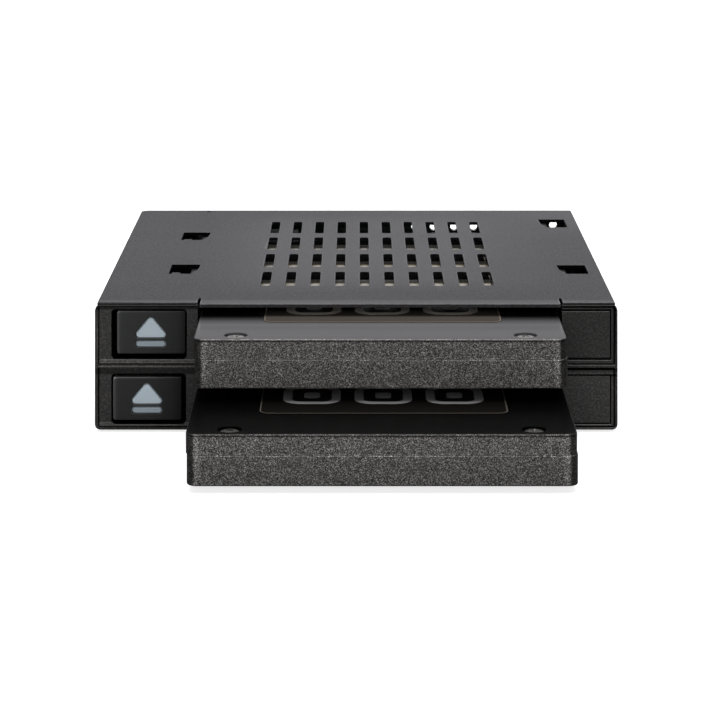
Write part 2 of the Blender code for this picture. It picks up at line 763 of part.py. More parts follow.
def eject_button(bay, parent):
    x, z = bay.button
    face = button_face(bay)
    back = face + BUTTON_D
    half_w, half_h = BUTTON_W / 2, BUTTON_H / 2
    rod_z = bay.rod_z
    outline = rounded(x - half_w, x + half_w, z - half_h, z + half_h, 0.35, 2)
    lens_room = box(x - 3.3, x + 3.3, face + 1.2, back + 1, z - 3.2, z + 3.2)
    rod_socket = box(ROD_X - 1.0, ROD_X + 1.0, back - 2.6, back + 1, rod_z - 1.1, rod_z + 1.1)
    piece(
        f"{bay.name}_eject_button", prism(outline, "y", face, back),
        BUTTON_ABS, (x, face, z), parent,
        cut=[icon(bay, 0.2, face - 1, face + 1.6), [lens_room], [rod_socket]],
    )


def eject_icon_lens(bay, parent):
    x, z = bay.button
    face = button_face(bay)
    piece(
        f"{bay.name}_eject_icon_lens",
        box(x - 3.1, x + 3.1, face + 1.35, face + 3.4, z - 3.0, z + 3.0),
        LENS, (x, face, z), parent,
        add=[icon(bay, 0.0, face + 0.05, face + 1.6)],
    )


# ---------------------------------------------------------------- push rod, spring, lever, slider
COLLAR_HALF, COLLAR_T = 2.1, 1.0
SPRING_GAP = 0.2  # at each end of the spring
SPRING_TURNS, SPRING_R, WIRE_R = 6, 1.85, 0.28
STEPS_PER_TURN, WIRE_SIDES = 12, 6
# x, y of the lever's middle line, from the push rod round the pin to the slider
LEVER_PATH = [(-44.8, 98.0), PIVOT, (-31.0, 103.8), (-16.3, 103.8)]
LEVER_HALF_W, LEVER_HALF_T = 1.0, 0.6
SLIDER_T = 1.2


def collar_front(bay):
    return BEZEL_D + GAP + bay.pressed


def push_rod(bay, parent):
    z = bay.rod_z
    button_back = button_face(bay) + BUTTON_D
    rod_end = LEVER_PATH[0][1] - LEVER_HALF_W - GAP + bay.pressed
    collar = collar_front(bay)
    piece(
        f"{bay.name}_push_rod",
        box(ROD_X - 0.8, ROD_X + 0.8, button_back - 2.4, rod_end, z - 0.9, z + 0.9),
        ZINC, (ROD_X, button_back, z), parent,
        add=[[
            box(
                ROD_X - COLLAR_HALF, ROD_X + COLLAR_HALF, collar, collar + COLLAR_T,
                z - COLLAR_HALF, z + COLLAR_HALF,
            )
        ]],
    )


def return_spring(bay):
    """A coil of wire between the rod's collar and the front rod guide."""
    start = collar_front(bay) + COLLAR_T + SPRING_GAP
    end = ROD_GUIDE_Y["front"] - SPRING_GAP
    steps = SPRING_TURNS * STEPS_PER_TURN
    section = circle(SPRING_R, 0, WIRE_R, WIRE_SIDES)  # distance from the rod's axis, y
    points = []
    for i in range(steps + 1):
        angle = 2 * math.pi * i / STEPS_PER_TURN
        cos, sin = math.cos(angle), math.sin(angle)
        y = start + WIRE_R + (end - start - 2 * WIRE_R) * i / steps
        points += [(ROD_X + out * cos, y + along, bay.rod_z + out * sin) for out, along in section]
    last = steps * WIRE_SIDES
    faces = [list(range(WIRE_SIDES)), list(range(last, last + WIRE_SIDES))[::-1]]
    for a in range(0, last, WIRE_SIDES):
        b = a + WIRE_SIDES
        for k in range(WIRE_SIDES):
            following = (k + 1) % WIRE_SIDES
            faces.append([a + k, b + k, b + following, a + following])
    origin = (ROD_X, end, bay.rod_z)
    piece(f"{bay.name}_return_spring", (points, faces), BRIGHT_STEEL, origin, smooth=True)


def eject_lever(bay):
    """The bell-crank lever, turned as far as its button is pressed."""
    z = bay.rod_z
    axis = empty(f"{bay.name}_lever_axis", (*PIVOT, z))
    turn = -LEVER_TURN * bay.pressed / TRAVEL
    outline = turned(band(LEVER_PATH, LEVER_HALF_W, 5), PIVOT, turn)
    piece(
        f"{bay.name}_eject_lever", prism(outline, "z", z - LEVER_HALF_T, z + LEVER_HALF_T),
        ZINC, (*PIVOT, z), axis,
        add=[[rod(*PIVOT, HUB_R, "z", z - HUB_HALF_T, z + HUB_HALF_T, 24)]],
        cut=[[rod(*PIVOT, PIN_R + PIN_CLEARANCE, "z", z - 2, z + 2, 24)]],
    )


def eject_slider(bay):
    """A plate behind the drive with an arm along its left, moved forward with the button."""
    z = bay.z
    y = DOCKED_FRONT + DRIVE_L + GAP - SLIDER_RATIO * bay.pressed
    arm = [
        (-31.9, y - 17.3), (-30.9, y - 17.3), (-30.9, y + 0.05),
        (-28.5, y + 0.05), (-28.5, y + 1.15), (-31.9, y + 1.15),
    ]
    piece(
        f"{bay.name}_eject_slider", box(-29.0, -13.5, y, y + SLIDER_T, z + 1.1, z + 8.8),
        ZINC, (-21, y, z + 1.1),
        add=[[prism(arm, "z", z + 6.9, z + 8.75)]],
    )


def eject_mechanism(bay):
    x, z = bay.button
    button_axis = empty(f"{bay.name}_button_axis", (x, button_face(bay), z))
    eject_button(bay, button_axis)
    eject_icon_lens(bay, button_axis)
    push_rod(bay, button_axis)
    return_spring(bay)
    eject_lever(bay)
    eject_slider(bay)


# ---------------------------------------------------------------- drives
# Here x is from the drive's middle, y from its front and z from its underside.
SEAM, SEAM_GAP = 5.5, 0.12  # joint between lid and base
SKEW = 0.08  # the lid sits this much to the left of centre, and the base as much to the right
# x, y of the hollow, which steps in round the rear screws
CAVITY = [
    (-33.7, 7.5), (33.7, 7.5), (33.7, 84.5), (23.7, 84.5), (23.7, 91.5), (33.7, 91.5),
    (33.7, 98.8), (-33.7, 98.8), (-33.7, 91.5), (-23.7, 91.5), (-23.7, 84.5), (-33.7, 84.5),
]
CONNECTOR_OPENING = box(-9.0, 31.5, 96.0, 102, 2.2, 7.2)
DRIVE_SCREWS = {
    "front_left": (-27.25, 3.6),
    "front_right": (27.25, 3.6),
    "rear_left": (-27.25, 88.0),
    "rear_right": (27.25, 88.0),
}
TAP_Y, TAP_Z, TAP_R, TAP_DEPTH = (9.4, 86.0), 3.0, 1.25, 2.6
LABEL_X, LABEL_FRONT, LABEL_BACK = 0.5, 14.5, 83.0


def drive_piece(bay, part, shell, finish, origin, parent, add=(), cut=(), smooth=False):
    """A piece given in the drive's own frame."""
    offset = (DRIVE_X, -bay.out, bay.z)

    def moved_groups(groups):
        return [[moved(each, offset) for each in shells] for shells in groups]

    piece(
        f"{bay.name}_drive_{part}", moved(shell, offset), finish,
        tuple(a + b for a, b in zip(origin, offset)), parent,
        add=moved_groups(add), cut=moved_groups(cut), smooth=smooth,
    )


def drive_shell(shift, z0, z1):
    half = DRIVE_W / 2
    return prism(rounded(shift - half, shift + half, 0, DRIVE_L, 1.9), "z", z0, z1)


def screw_holes(radius, z0, z1, sides):
    return [rod(x, y, radius, "z", z0, z1, sides) for x, y in DRIVE_SCREWS.values()]


def drive_case(bay, parent):
    drive_piece(
        bay, "lid", drive_shell(-SKEW, SEAM + SEAM_GAP / 2, DRIVE_T),
        DRIVE_LID, (0, 0, DRIVE_T), parent,
        cut=[
            [prism(CAVITY, "z", 3, DRIVE_T - 1.0)],
            [CONNECTOR_OPENING],
            screw_holes(2.15, 8.4, 11, 16),
            screw_holes(0.95, 4, 8.6, 8),
        ],
    )
    half = DRIVE_W / 2
    side_taps = [
        rod(y, TAP_Z, TAP_R, "x", *span(side, half - TAP_DEPTH, half + 1), 12)
        for y in TAP_Y
        for side in SIDES
    ]
    drive_piece(
        bay, "base", drive_shell(SKEW, 0, SEAM - SEAM_GAP / 2), DRIVE_BASE, (0, 0, 0), parent,
        cut=[
            [prism(CAVITY, "z", 1.0, 8)],
            [CONNECTOR_OPENING],
            screw_holes(0.95, 1.8, 8, 8),
            side_taps,
        ],
    )


def drive_electronics(bay, parent):
    drive_piece(
        bay, "board", box(-22, 22, 42, 91.7, 3.4, 4.6), BOARD, (0, 91.7, 3.4), parent
    )
    drive_piece(
        bay, "connector", box(-8.3, 31.1, 92.0, 95.5, 2.4, 7.0), CONNECTOR,
        (11.4, 95.5, 4.8), parent,
        add=[[box(-6.2, 29.2, 95.0, 99.6, 4.2, 5.4)]],
    )


def drive_label(bay, parent):
    outline = rounded(LABEL_X - 23, LABEL_X + 23, LABEL_FRONT, LABEL_BACK, 2.0)
    drive_piece(
        bay, "label", prism(outline, "z", DRIVE_T + 0.02, DRIVE_T + 0.1),
        LABEL, (LABEL_X, LABEL_FRONT, DRIVE_T), parent,
    )


def drive_screw(bay, parent, tag, x, y):
    drive_piece(
        bay, f"screw_{tag}", cone(x, y, 1.85, 1.5, "z", 8.5, 9.15, 16),
        BRIGHT_STEEL, (x, y, 8.5), parent,
        add=[[rod(x, y, 0.8, "z", 2.4, 8.7, 8)]],
        cut=cross(x, y, 1.0, 0.22, "z", 8.75, 10),
        smooth=True,
    )


def drive(bay):
    axis = empty(f"{bay.name}_drive_axis", (DRIVE_X, -bay.out, bay.z))
    drive_case(bay, axis)
    drive_electronics(bay, axis)
    drive_label(bay, axis)
    for tag, (x, y) in DRIVE_SCREWS.items():
        drive_screw(bay, axis, tag, x, y)


# ---------------------------------------------------------------- assembly
bottom_chassis()
top_cover()
front_bezel()
divider_shelf()
side_guides()
for guide_tag, guide_front in ROD_GUIDE_Y.items():
    rod_guide(guide_tag, guide_front)
backplane_board()
button_light_board()
light_ribbon_cable()
for side_name, side_sign in zip(("left", "right"), SIDES):
    for screw_tag, screw_y in SCREW_Y.items():
        cover_screw(f"cover_screw_{screw_tag}_{side_name}", side_sign, screw_y)
    backplane_screw(f"backplane_screw_{side_name}", side_sign * BOARD_SCREW_X)
lever_pin()
lever_spacers()
for each_bay in BAYS:
    drive_socket(each_bay)
    for connector_kind, ends in REAR_CONNECTOR_X.items():
        rear_connector(each_bay, connector_kind, *ends)
    button_light(each_bay)
    eject_mechanism(each_bay)
    drive(each_bay)
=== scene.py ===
import json
import math

import bmesh
import bpy
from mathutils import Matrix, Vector


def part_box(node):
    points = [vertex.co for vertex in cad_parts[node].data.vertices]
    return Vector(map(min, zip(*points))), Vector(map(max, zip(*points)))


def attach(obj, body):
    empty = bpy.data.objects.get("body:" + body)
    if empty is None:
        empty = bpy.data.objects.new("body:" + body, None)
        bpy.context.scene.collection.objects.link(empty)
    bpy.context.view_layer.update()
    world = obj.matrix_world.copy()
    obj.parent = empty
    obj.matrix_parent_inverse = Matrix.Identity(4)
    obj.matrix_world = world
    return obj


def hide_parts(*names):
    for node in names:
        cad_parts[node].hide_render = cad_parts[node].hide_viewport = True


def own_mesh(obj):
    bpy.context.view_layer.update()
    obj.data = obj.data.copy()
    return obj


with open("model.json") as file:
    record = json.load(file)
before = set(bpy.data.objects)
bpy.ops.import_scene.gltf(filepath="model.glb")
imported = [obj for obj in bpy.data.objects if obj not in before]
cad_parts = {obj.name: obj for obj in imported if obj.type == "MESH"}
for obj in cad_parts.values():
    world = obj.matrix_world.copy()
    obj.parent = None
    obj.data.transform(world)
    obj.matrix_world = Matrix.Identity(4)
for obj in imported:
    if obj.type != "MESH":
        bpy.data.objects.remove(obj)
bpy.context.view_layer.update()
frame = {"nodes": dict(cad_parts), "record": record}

MM = 0.001
NODES = frame["nodes"]
Y0 = -0.0535  # the bezel's face
BAYS = ("upper", "lower")


# ================================================================ node helpers
class Graph:
    """A short way to write a material's node tree."""

    def __init__(self, name):
        self.mat = bpy.data.materials.new(name)
        self.mat.use_nodes = True
        self.tree = self.mat.node_tree
        self.tree.nodes.clear()
        self.out = self.node("ShaderNodeOutputMaterial")
        self.bsdf = self.node("ShaderNodeBsdfPrincipled")
        self.link(self.bsdf.outputs[0], self.out.inputs["Surface"])
        self.coord = self.node("ShaderNodeTexCoord").outputs["Object"]

    def node(self, kind, **values):
        n = self.tree.nodes.new(kind)
        for k, v in values.items():
            setattr(n, k, v)
        return n

    def link(self, a, b):
        self.tree.links.new(a, b)

    def put(self, socket, value):
        if isinstance(value, bpy.types.NodeSocket):
            self.link(value, socket)
        elif isinstance(value, (tuple, list)) and len(value) == 3 and socket.type == "RGBA":
            socket.default_value = (*value, 1.0)
        else:
            socket.default_value = value

    def set(self, **values):
        for k, v in values.items():
            self.put(self.bsdf.inputs[k.replace("_", " ")], v)

    def noise(self, scale, detail=2.0, rough=0.5, stretch=None, vector=None, distortion=0.0):
        n = self.node("ShaderNodeTexNoise")
        self.link(self.stretched(stretch, vector), n.inputs["Vector"])
        n.inputs["Scale"].default_value = scale
        n.inputs["Detail"].default_value = detail
        n.inputs["Roughness"].default_value = rough
        n.inputs["Distortion"].default_value = distortion
        return n.outputs["Fac"]

    def stretched(self, stretch, vector=None):
        v = vector or self.coord
        if stretch is None:
            return v
        m = self.node("ShaderNodeMapping")
        self.link(v, m.inputs["Vector"])
        m.inputs["Scale"].default_value = stretch
        return m.outputs[0]

    def cells(self, scale, feature="F1", output="Distance", randomness=1.0, stretch=None):
        n = self.node("ShaderNodeTexVoronoi", feature=feature)
        self.link(self.stretched(stretch), n.inputs["Vector"])
        n.inputs["Scale"].default_value = scale
        n.inputs["Randomness"].default_value = randomness
        return n.outputs[output]

    def math(self, op, a, b=0.0, c=0.0, clamp=False):
        n = self.node("ShaderNodeMath", operation=op, use_clamp=clamp)
        self.put(n.inputs[0], a)
        self.put(n.inputs[1], b)
        self.put(n.inputs[2], c)
        return n.outputs[0]

    def ramp(self, value, *stops):
        n = self.node("ShaderNodeValToRGB")
        self.put(n.inputs[0], value)
        e = n.color_ramp.elements
        while len(e) < len(stops):
            e.new(0.5)
        for el, (at, colour) in zip(e, stops):
            el.position = at
            el.color = (*colour, 1.0) if isinstance(colour, tuple) else (colour, colour, colour, 1.0)
        return n.outputs[0]

    def mix(self, factor, a, b, kind="MIX"):
        n = self.node("ShaderNodeMix", data_type="RGBA", blend_type=kind)
        self.put(n.inputs[0], factor)
        self.put(n.inputs[6], a)
        self.put(n.inputs[7], b)
        return n.outputs[2]

    def bump(self, height, strength, distance_mm, normal=None):
        n = self.node("ShaderNodeBump")
        self.put(n.inputs["Height"], height)
        n.inputs["Strength"].default_value = strength
        n.inputs["Distance"].default_value = distance_mm * MM
        if normal is not None:
            self.link(normal, n.inputs["Normal"])
        return n.outputs[0]

    def edges(self, radius_mm, lo=0.02, hi=0.25):
        """1 on the object's convex and concave edges, 0 on its flats."""
        bevel = self.node("ShaderNodeBevel", samples=4)
        bevel.inputs["Radius"].default_value = radius_mm * MM
        geo = self.node("ShaderNodeNewGeometry")
        dot = self.node("ShaderNodeVectorMath", operation="DOT_PRODUCT")
        self.link(bevel.outputs[0], dot.inputs[0])
        self.link(geo.outputs["Normal"], dot.inputs[1])
        return self.ramp(self.math("SUBTRACT", 1.0, dot.outputs["Value"]), (lo, 0.0), (hi, 1.0))

    def along(self, axis, *stops):
        """A factor that follows the position along an axis, given as (millimetres, value) pairs in order."""
        sep = self.node("ShaderNodeSeparateXYZ")
        self.link(self.node("ShaderNodeNewGeometry").outputs["Position"], sep.inputs[0])
        lo, hi = stops[0][0], stops[-1][0]
        t = self.math("DIVIDE", self.math("SUBTRACT", sep.outputs[axis], lo * MM), (hi - lo) * MM, clamp=True)
        n = self.node("ShaderNodeFloatCurve")
        self.put(n.inputs["Value"], t)
        top = max(v for _, v in stops)
        curve = n.mapping.curves[0]
        while len(curve.points) < len(stops):
            curve.points.new(0.5, 0.5)
        for point, (at, value) in zip(curve.points, stops):
            point.location = ((at - lo) / (hi - lo), value / top)
            point.handle_type = "VECTOR"
        n.mapping.update()
        return self.math("MULTIPLY", n.outputs[0], top)

    def under_slots(self):
        """Where the light that falls through the cover's rows of slots reaches what lies below, as seen from the front: 1 in it, 0 out of it."""
        sep = self.node("ShaderNodeSeparateXYZ")
        self.link(self.node("ShaderNodeNewGeometry").outputs["Position"], sep.inputs[0])
        t = self.math("FRACT", self.math("DIVIDE", self.math("SUBTRACT", sep.outputs[1], (-53.5 + 18.0) * MM), 19.9 * MM))
        return self.ramp(t, (0.0, 0.0), (0.58, 0.0), (0.62, 1.0), (0.90, 1.0), (0.94, 0.0))

    def scaled(self, colour, factor):
        """A colour made lighter or darker by a factor."""
        n = self.node("ShaderNodeVectorMath", operation="SCALE")
        self.put(n.inputs[0], colour)
        self.put(n.inputs["Scale"], factor)
        return n.outputs[0]

    def facing(self, axis):
        """How much the surface's own normal points along an axis, 0 to 1."""
        geo = self.node("ShaderNodeNewGeometry")
        dot = self.node("ShaderNodeVectorMath", operation="DOT_PRODUCT")
        self.link(geo.outputs["Normal"], dot.inputs[0])
        dot.inputs[1].default_value = axis
        return self.math("MAXIMUM", dot.outputs["Value"], 0.0)


# ================================================================ materials
def powder_coat(name="powder_coated_steel", edge=False):
    """Black powder coat with a fine grain: nearly black under it, so most of what shows is its sheen, part of which is
    painted into its colour as a lighter pool across the top.
    """
    g = Graph(name)
    grain = g.noise(1900, 4.0, 0.7)
    fine = g.noise(3000, 2.0, 0.5)
    cloud = g.noise(30, 4.0, 0.6)
    base = g.mix(cloud, (0.009, 0.0088, 0.0102), (0.015, 0.0146, 0.0168))
    speck = g.ramp(fine, (0.50, 0.0), (0.64, 1.0))
    base = g.mix(g.math("MULTIPLY", speck, 0.4), base, (0.090, 0.088, 0.097))
    # painted sheen: a lighter pool of light across the middle and back of the cover and along its front lip
    painted_sheen_middle = g.math("MULTIPLY", g.along(0, (-34, 0.0), (-26, 0.35), (-16, 0.95), (2, 1.0), (20, 0.95), (33, 0.4), (42, 0.06), (50, 0.1)), g.along(1, (-53.5 + 11, 0.0), (-53.5 + 24, 0.75), (-53.5 + 58, 1.0), (-53.5 + 90, 0.8), (-53.5 + 100, 0.3)))
    painted_sheen_back = g.math("MULTIPLY", g.along(0, (-20, 0.0), (50, 1.0)), g.along(1, (-53.5 + 70, 0.0), (-53.5 + 103, 1.0)))
    lip = g.along(1, (-53.5 + 0.6, 1.0), (-53.5 + 3.0, 0.9), (-53.5 + 4.2, 0.0))
    lit = g.math("ADD", g.math("ADD", painted_sheen_middle, g.math("MULTIPLY", painted_sheen_back, 0.75)), lip)
    # painted shade: faces that look to the front are darkened, most of all the far walls of the slots and windows,
    # somewhat less the cover's front edge
    inner = g.math("MULTIPLY", g.ramp(g.facing((0, -1, 0)), (0.2, 0.0), (0.5, 1.0)), g.along(1, (-53.5 + 2.4, 0.7), (-53.5 + 3.2, 1.0)))
    streak = g.ramp(g.noise(2300, 2.0, 0.7, stretch=(1.0, 0.25, 1.0)), (0.42, 0.0), (0.60, 1.0))
    base = g.mix(g.math("MULTIPLY", lit, 0.29), base, (0.20, 0.197, 0.213))
    base = g.mix(g.math("MULTIPLY", streak, g.along(1, (-53.5 + 6, 0.08), (-53.5 + 22, 0.10), (54, 0.11))), base, (0.198, 0.194, 0.218))
    if edge:
        # painted highlight on the bevelled edges, broken by noise and strongest along the cover's front edge
        front = g.along(1, (-53.5 + 2.2, 1.0), (-53.5 + 2.8, 0.0))
        painted_highlight = g.math("MULTIPLY", g.ramp(grain, (0.30, 0.3), (0.56, 0.95)), g.math("MULTIPLY_ADD", front, 0.65, 0.35))
        base = g.mix(painted_highlight, base, (0.36, 0.355, 0.37))
    base = g.scaled(base, g.math("MULTIPLY_ADD", inner, -0.9, 1.0))
    height = g.math("MULTIPLY_ADD", grain, 0.8, g.math("MULTIPLY", fine, 0.4))
    g.set(
        Base_Color=base,
        Roughness=g.math("MULTIPLY_ADD", cloud, 0.10, g.math("MULTIPLY_ADD", grain, 0.30, 0.28)),
        Specular_IOR_Level=g.math("MULTIPLY_ADD", inner, -0.28, 0.29),
        Normal=g.bump(height, 0.8, 0.12),
    )
    return g.mat


def textured_abs(name="textured_black_abs", edge=False):
    """The bezel: a fine spark texture, with painted shade down in its pockets and grooves and painted highlights on its
    upward-facing edges and lips.
    """
    g = Graph(name)
    grain = g.cells(2000)
    noise = g.noise(2300, 3.0, 0.7)
    cloud = g.noise(60, 3.0, 0.5)
    up = g.facing((0, 0, 1))
    base = g.mix(cloud, (0.0215, 0.0205, 0.020), (0.027, 0.0258, 0.025))
    base = g.mix(g.ramp(noise, (0.48, 0.0), (0.68, 1.0)), base, (0.090, 0.086, 0.082))
    if edge:
        # painted highlight on the upward-facing bevels, stronger towards the right
        painted_edge_highlight = g.math("MULTIPLY", g.math("MULTIPLY_ADD", up, 0.85, 0.2, clamp=True), g.along(0, (-50.5, 0.2), (-31.0, 0.32), (39.0, 0.8), (50.5, 0.7)))
        base = g.mix(painted_edge_highlight, base, (0.34, 0.333, 0.325))
    # painted light: slopes that face up are lightened as highlights, flat tops are darkened as shade
    base = g.scaled(base, g.math("MULTIPLY", g.ramp(up, (0.0, 0.5), (0.40, 0.95), (0.62, 0.95), (0.85, 0.22), (1.0, 0.2)), 2.0))
    # painted light across the bezel: lighter at its left end, darkest around x = -32 mm, lighter again towards the
    # right
    base = g.scaled(base, g.along(0, (-50.8, 1.25), (-44.0, 1.1), (-32.0, 0.75), (40.0, 1.0), (50.8, 1.15)))
    # painted shade deep in the button pockets and the recesses behind the face, not in the drive slots
    painted_recess_shade = g.along(1, (-53.5 + 0.36, 0.0), (-53.5 + 0.62, 1.0), (-53.5 + 9.0, 1.0))
    painted_recess_shade = g.math("MULTIPLY", painted_recess_shade, g.along(0, (-31.0, 1.0), (-30.85, 0.0), (39.9, 0.0), (40.1, 1.0)))
    base = g.scaled(base, g.math("MULTIPLY_ADD", painted_recess_shade, -0.88, 1.0))
    # painted shade in the grooves and painted highlights on their lower lips, in bands up the left and right parts of
    # the bezel
    right = g.along(0, (-31.0, 0.0), (39.0, 1.0))
    left_painted_shading = g.along(2, (0.2, 0.85), (1.0, 0.9), (10.9, 1.0), (11.15, 0.45), (12.1, 0.5), (12.3, 1.0), (23.45, 1.0), (23.7, 0.4), (24.6, 0.45))
    right_painted_shading = g.along(
        2, (0.2, 1.3), (10.5, 1.3), (10.58, 0.5), (10.68, 0.4), (10.74, 0.12), (10.93, 0.12), (11.02, 0.6), (11.1, 1.5),
        (11.45, 1.3), (11.58, 0.4), (11.9, 0.35), (12.05, 0.5), (12.2, 0.9), (23.5, 0.75), (23.8, 0.35), (24.2, 0.3), (24.5, 0.3),
    )
    painted_shading = g.math("ADD", g.math("MULTIPLY", left_painted_shading, g.math("SUBTRACT", 1.0, right)), g.math("MULTIPLY", right_painted_shading, right))
    base = g.scaled(base, painted_shading)
    gloss = g.math("MULTIPLY", g.math("MULTIPLY_ADD", up, -0.36, 0.5), g.math("MULTIPLY_ADD", painted_recess_shade, -0.9, 1.0))
    gloss = g.math("MULTIPLY", gloss, g.math("MINIMUM", painted_shading, 1.15))
    g.set(
        Base_Color=base,
        Roughness=g.math("MULTIPLY_ADD", noise, 0.25, 0.36),
        Specular_IOR_Level=gloss,
        Normal=g.bump(g.math("ADD", grain, noise), 0.6, 0.06),
    )
    return g.mat


def button_abs(name="button_abs", edge=False):
    """A button, painted brighter towards its left and darker towards its right, as light from the upper left falls on
    it, with painted highlights on its top rim and on its upper and left edges.
    """
    g = Graph(name)
    grain = g.noise(4200, 3.0, 0.6)
    cloud = g.noise(70, 3.0, 0.5)
    over = g.along(2, (12.0, 0.0), (13.0, 1.0))
    # painted light: brighter towards the left, darker towards the right, differently for the upper and lower button
    side = g.math("ADD", g.math("MULTIPLY", over, g.along(0, (-46.6, 2.5), (-46.3, 2.0), (-46.0, 1.25), (-45.4, 1.08), (-40.0, 0.92), (-36.2, 0.78), (-34.6, 0.68), (-33.2, 0.35))),
                  g.math("MULTIPLY", g.math("SUBTRACT", 1.0, over), g.along(0, (-47.3, 1.3), (-47.0, 2.3), (-46.7, 1.3), (-46.2, 1.02), (-40.0, 0.9), (-36.2, 0.66), (-34.9, 0.5), (-33.8, 0.3))))
    # painted highlight along the top rim
    rim = g.along(2, (10.0, 0.0), (10.2, 0.8), (10.42, 1.0), (10.6, 0.0), (22.6, 0.0), (22.85, 0.5), (23.05, 0.6))
    base = g.mix(cloud, (0.0145, 0.0148, 0.0155), (0.0195, 0.0198, 0.0208))
    base = g.mix(g.math("MULTIPLY", rim, g.math("MULTIPLY", g.math("MULTIPLY", side, side), 0.42), clamp=True), base, (0.17, 0.172, 0.178))
    if edge:
        # painted highlight on the bevels that face up and to the left
        lit = g.math("ADD", g.facing((0, 0, 1)), g.facing((-1, 0, 0)))
        base = g.mix(g.math("MULTIPLY_ADD", lit, 0.8, 0.0, clamp=True), base, (0.24, 0.242, 0.25))
    g.set(
        Base_Color=g.scaled(base, side),
        Roughness=g.math("MULTIPLY_ADD", grain, 0.14, 0.32),
        Specular_IOR_Level=g.math("MULTIPLY", side, 0.5),
        Normal=g.bump(grain, 0.3, 0.03),
    )
    return g.mat


def icon_lens():
    g = Graph("icon_light_pipe")
    cloud = g.noise(500, 2.0, 0.5)
    base = g.mix(cloud, (0.66, 0.79, 0.88), (0.74, 0.86, 0.94))
    base = g.mix(g.math("MULTIPLY", g.edges(0.2), 0.5), base, (0.93, 0.97, 1.0))
    base = g.scaled(
        base, g.along(2, (3.3, 0.56), (4.6, 0.60), (4.9, 0.92), (9.0, 1.0), (15.8, 0.56), (17.2, 0.60), (17.5, 0.92), (21.6, 1.0))
    )
    g.set(
        Base_Color=base,
        Roughness=0.3,
        # a faint painted glow lifts the light pipe's brightness
        Emission_Color=base,
        Emission_Strength=0.11,
        Subsurface_Weight=0.2,
        Subsurface_Radius=(0.0004, 0.0005, 0.0006),
        Normal=g.bump(g.noise(2500, 2.0), 0.1, 0.02),
    )
    g.bsdf.inputs["Subsurface Scale"].default_value = 1.0
    return g.mat


DRIVE_CX = (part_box("upper_drive_lid")[0][0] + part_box("upper_drive_base")[1][0]) / 2 / MM
DRIVE_Z = [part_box(f"{bay}_drive_base")[0][2] / MM for bay in ("lower", "upper")]


def sandblasted(name="sandblasted_gunmetal", edge=False):
    """The drive's sides: blasted metal whose grains catch the light one by one. Its edges carry a painted highlight,
    broken here and there.
    """
    g = Graph(name)
    sep = g.node("ShaderNodeSeparateColor")
    g.link(g.cells(7800, output="Color"), sep.inputs[0])
    fleck = sep.outputs[0]
    noise = g.noise(9000, 1.0, 0.5)
    cloud = g.noise(60, 3.0, 0.6)
    both = g.math("MULTIPLY_ADD", fleck, 0.8, g.math("MULTIPLY", noise, 0.2))
    base = g.ramp(
        both, (0.15, (0.020, 0.019, 0.019)), (0.50, (0.090, 0.088, 0.086)), (0.72, (0.20, 0.195, 0.19)), (0.90, (0.62, 0.60, 0.57))
    )
    # painted light at the upright corners: a lit line, then painted shade on the side turning away
    around = g.math("ADD", g.facing((-1, 0, 0)), g.facing((1, 0, 0)))
    base = g.scaled(base, g.math("MULTIPLY", g.ramp(around, (0.0, 0.5), (0.22, 0.48), (0.38, 0.22), (0.55, 0.18), (1.0, 0.24)), 2.0))
    base = g.mix(g.math("MULTIPLY", cloud, 0.25), base, (0.14, 0.137, 0.133))
    # painted light: the lower drive's faces are lightened more than the upper's
    base = g.scaled(base, g.along(2, (11.4, 1.40), (12.6, 1.09)))
    c = DRIVE_CX
    # painted highlight: a broken vertical band close to each front corner
    line = g.along(0, (c - 33.8, 0.0), (c - 33.4, 0.9), (c - 32.95, 1.0), (c - 32.3, 0.0), (c + 32.3, 0.0), (c + 32.95, 1.0), (c + 33.4, 0.9), (c + 33.8, 0.0))
    line = g.math("MULTIPLY", g.math("MULTIPLY", line, g.facing((0, -1, 0))), g.ramp(g.noise(800, 2.0, 0.7), (0.30, 0.35), (0.60, 1.0)))
    base = g.scaled(base, g.math("MULTIPLY_ADD", line, 0.95, 1.0))
    joint = g.along(2, *[stop for zb in DRIVE_Z for stop in ((zb + 5.22, 0.0), (zb + 5.36, 1.0), (zb + 5.64, 1.0), (zb + 5.78, 0.0))])
    joint = g.math("MULTIPLY", joint, g.ramp(g.noise(900, 3.0, 0.7), (0.36, 0.2), (0.62, 1.0)))
    base = g.scaled(base, g.math("MULTIPLY_ADD", joint, 0.85, 1.0))
    under = g.along(2, *[stop for zb in DRIVE_Z for stop in ((zb + 8.66, 0.0), (zb + 8.84, 1.0), (zb + 9.04, 1.0), (zb + 9.16, 0.0))])
    if edge:
        # painted highlight on the edge bevels, broken by noise and weaker on the lower drive
        painted_highlight = g.ramp(g.noise(900, 4.0, 0.8), (0.38, 0.1), (0.60, 0.8))
        base = g.mix(g.math("MULTIPLY", painted_highlight, g.along(2, (11.4, 0.16), (12.6, 0.7))), base, (0.40, 0.39, 0.375))
    # painted shade on upward-facing surfaces, strongest on the lower drive beneath the upper one
    base = g.scaled(base, g.math("SUBTRACT", 1.0, g.math("MULTIPLY", g.facing((0, 0, 1)), g.along(2, (DRIVE_Z[0] + 6.4, 0.0), (DRIVE_Z[0] + 8.4, 0.85), (11.4, 0.85), (12.6, 0.15)))))
    # painted shade: a dark line on the front just below the lid's rounded top edge
    base = g.scaled(base, g.math("MULTIPLY_ADD", g.math("MULTIPLY", under, g.facing((0, -1, 0))), -0.72, 1.0))
    g.set(
        Base_Color=base,
        Roughness=g.math("MULTIPLY_ADD", fleck, -0.10, 0.44),
        Metallic=0.9,
        Normal=g.bump(both, 0.55, 0.05),
    )
    return g.mat


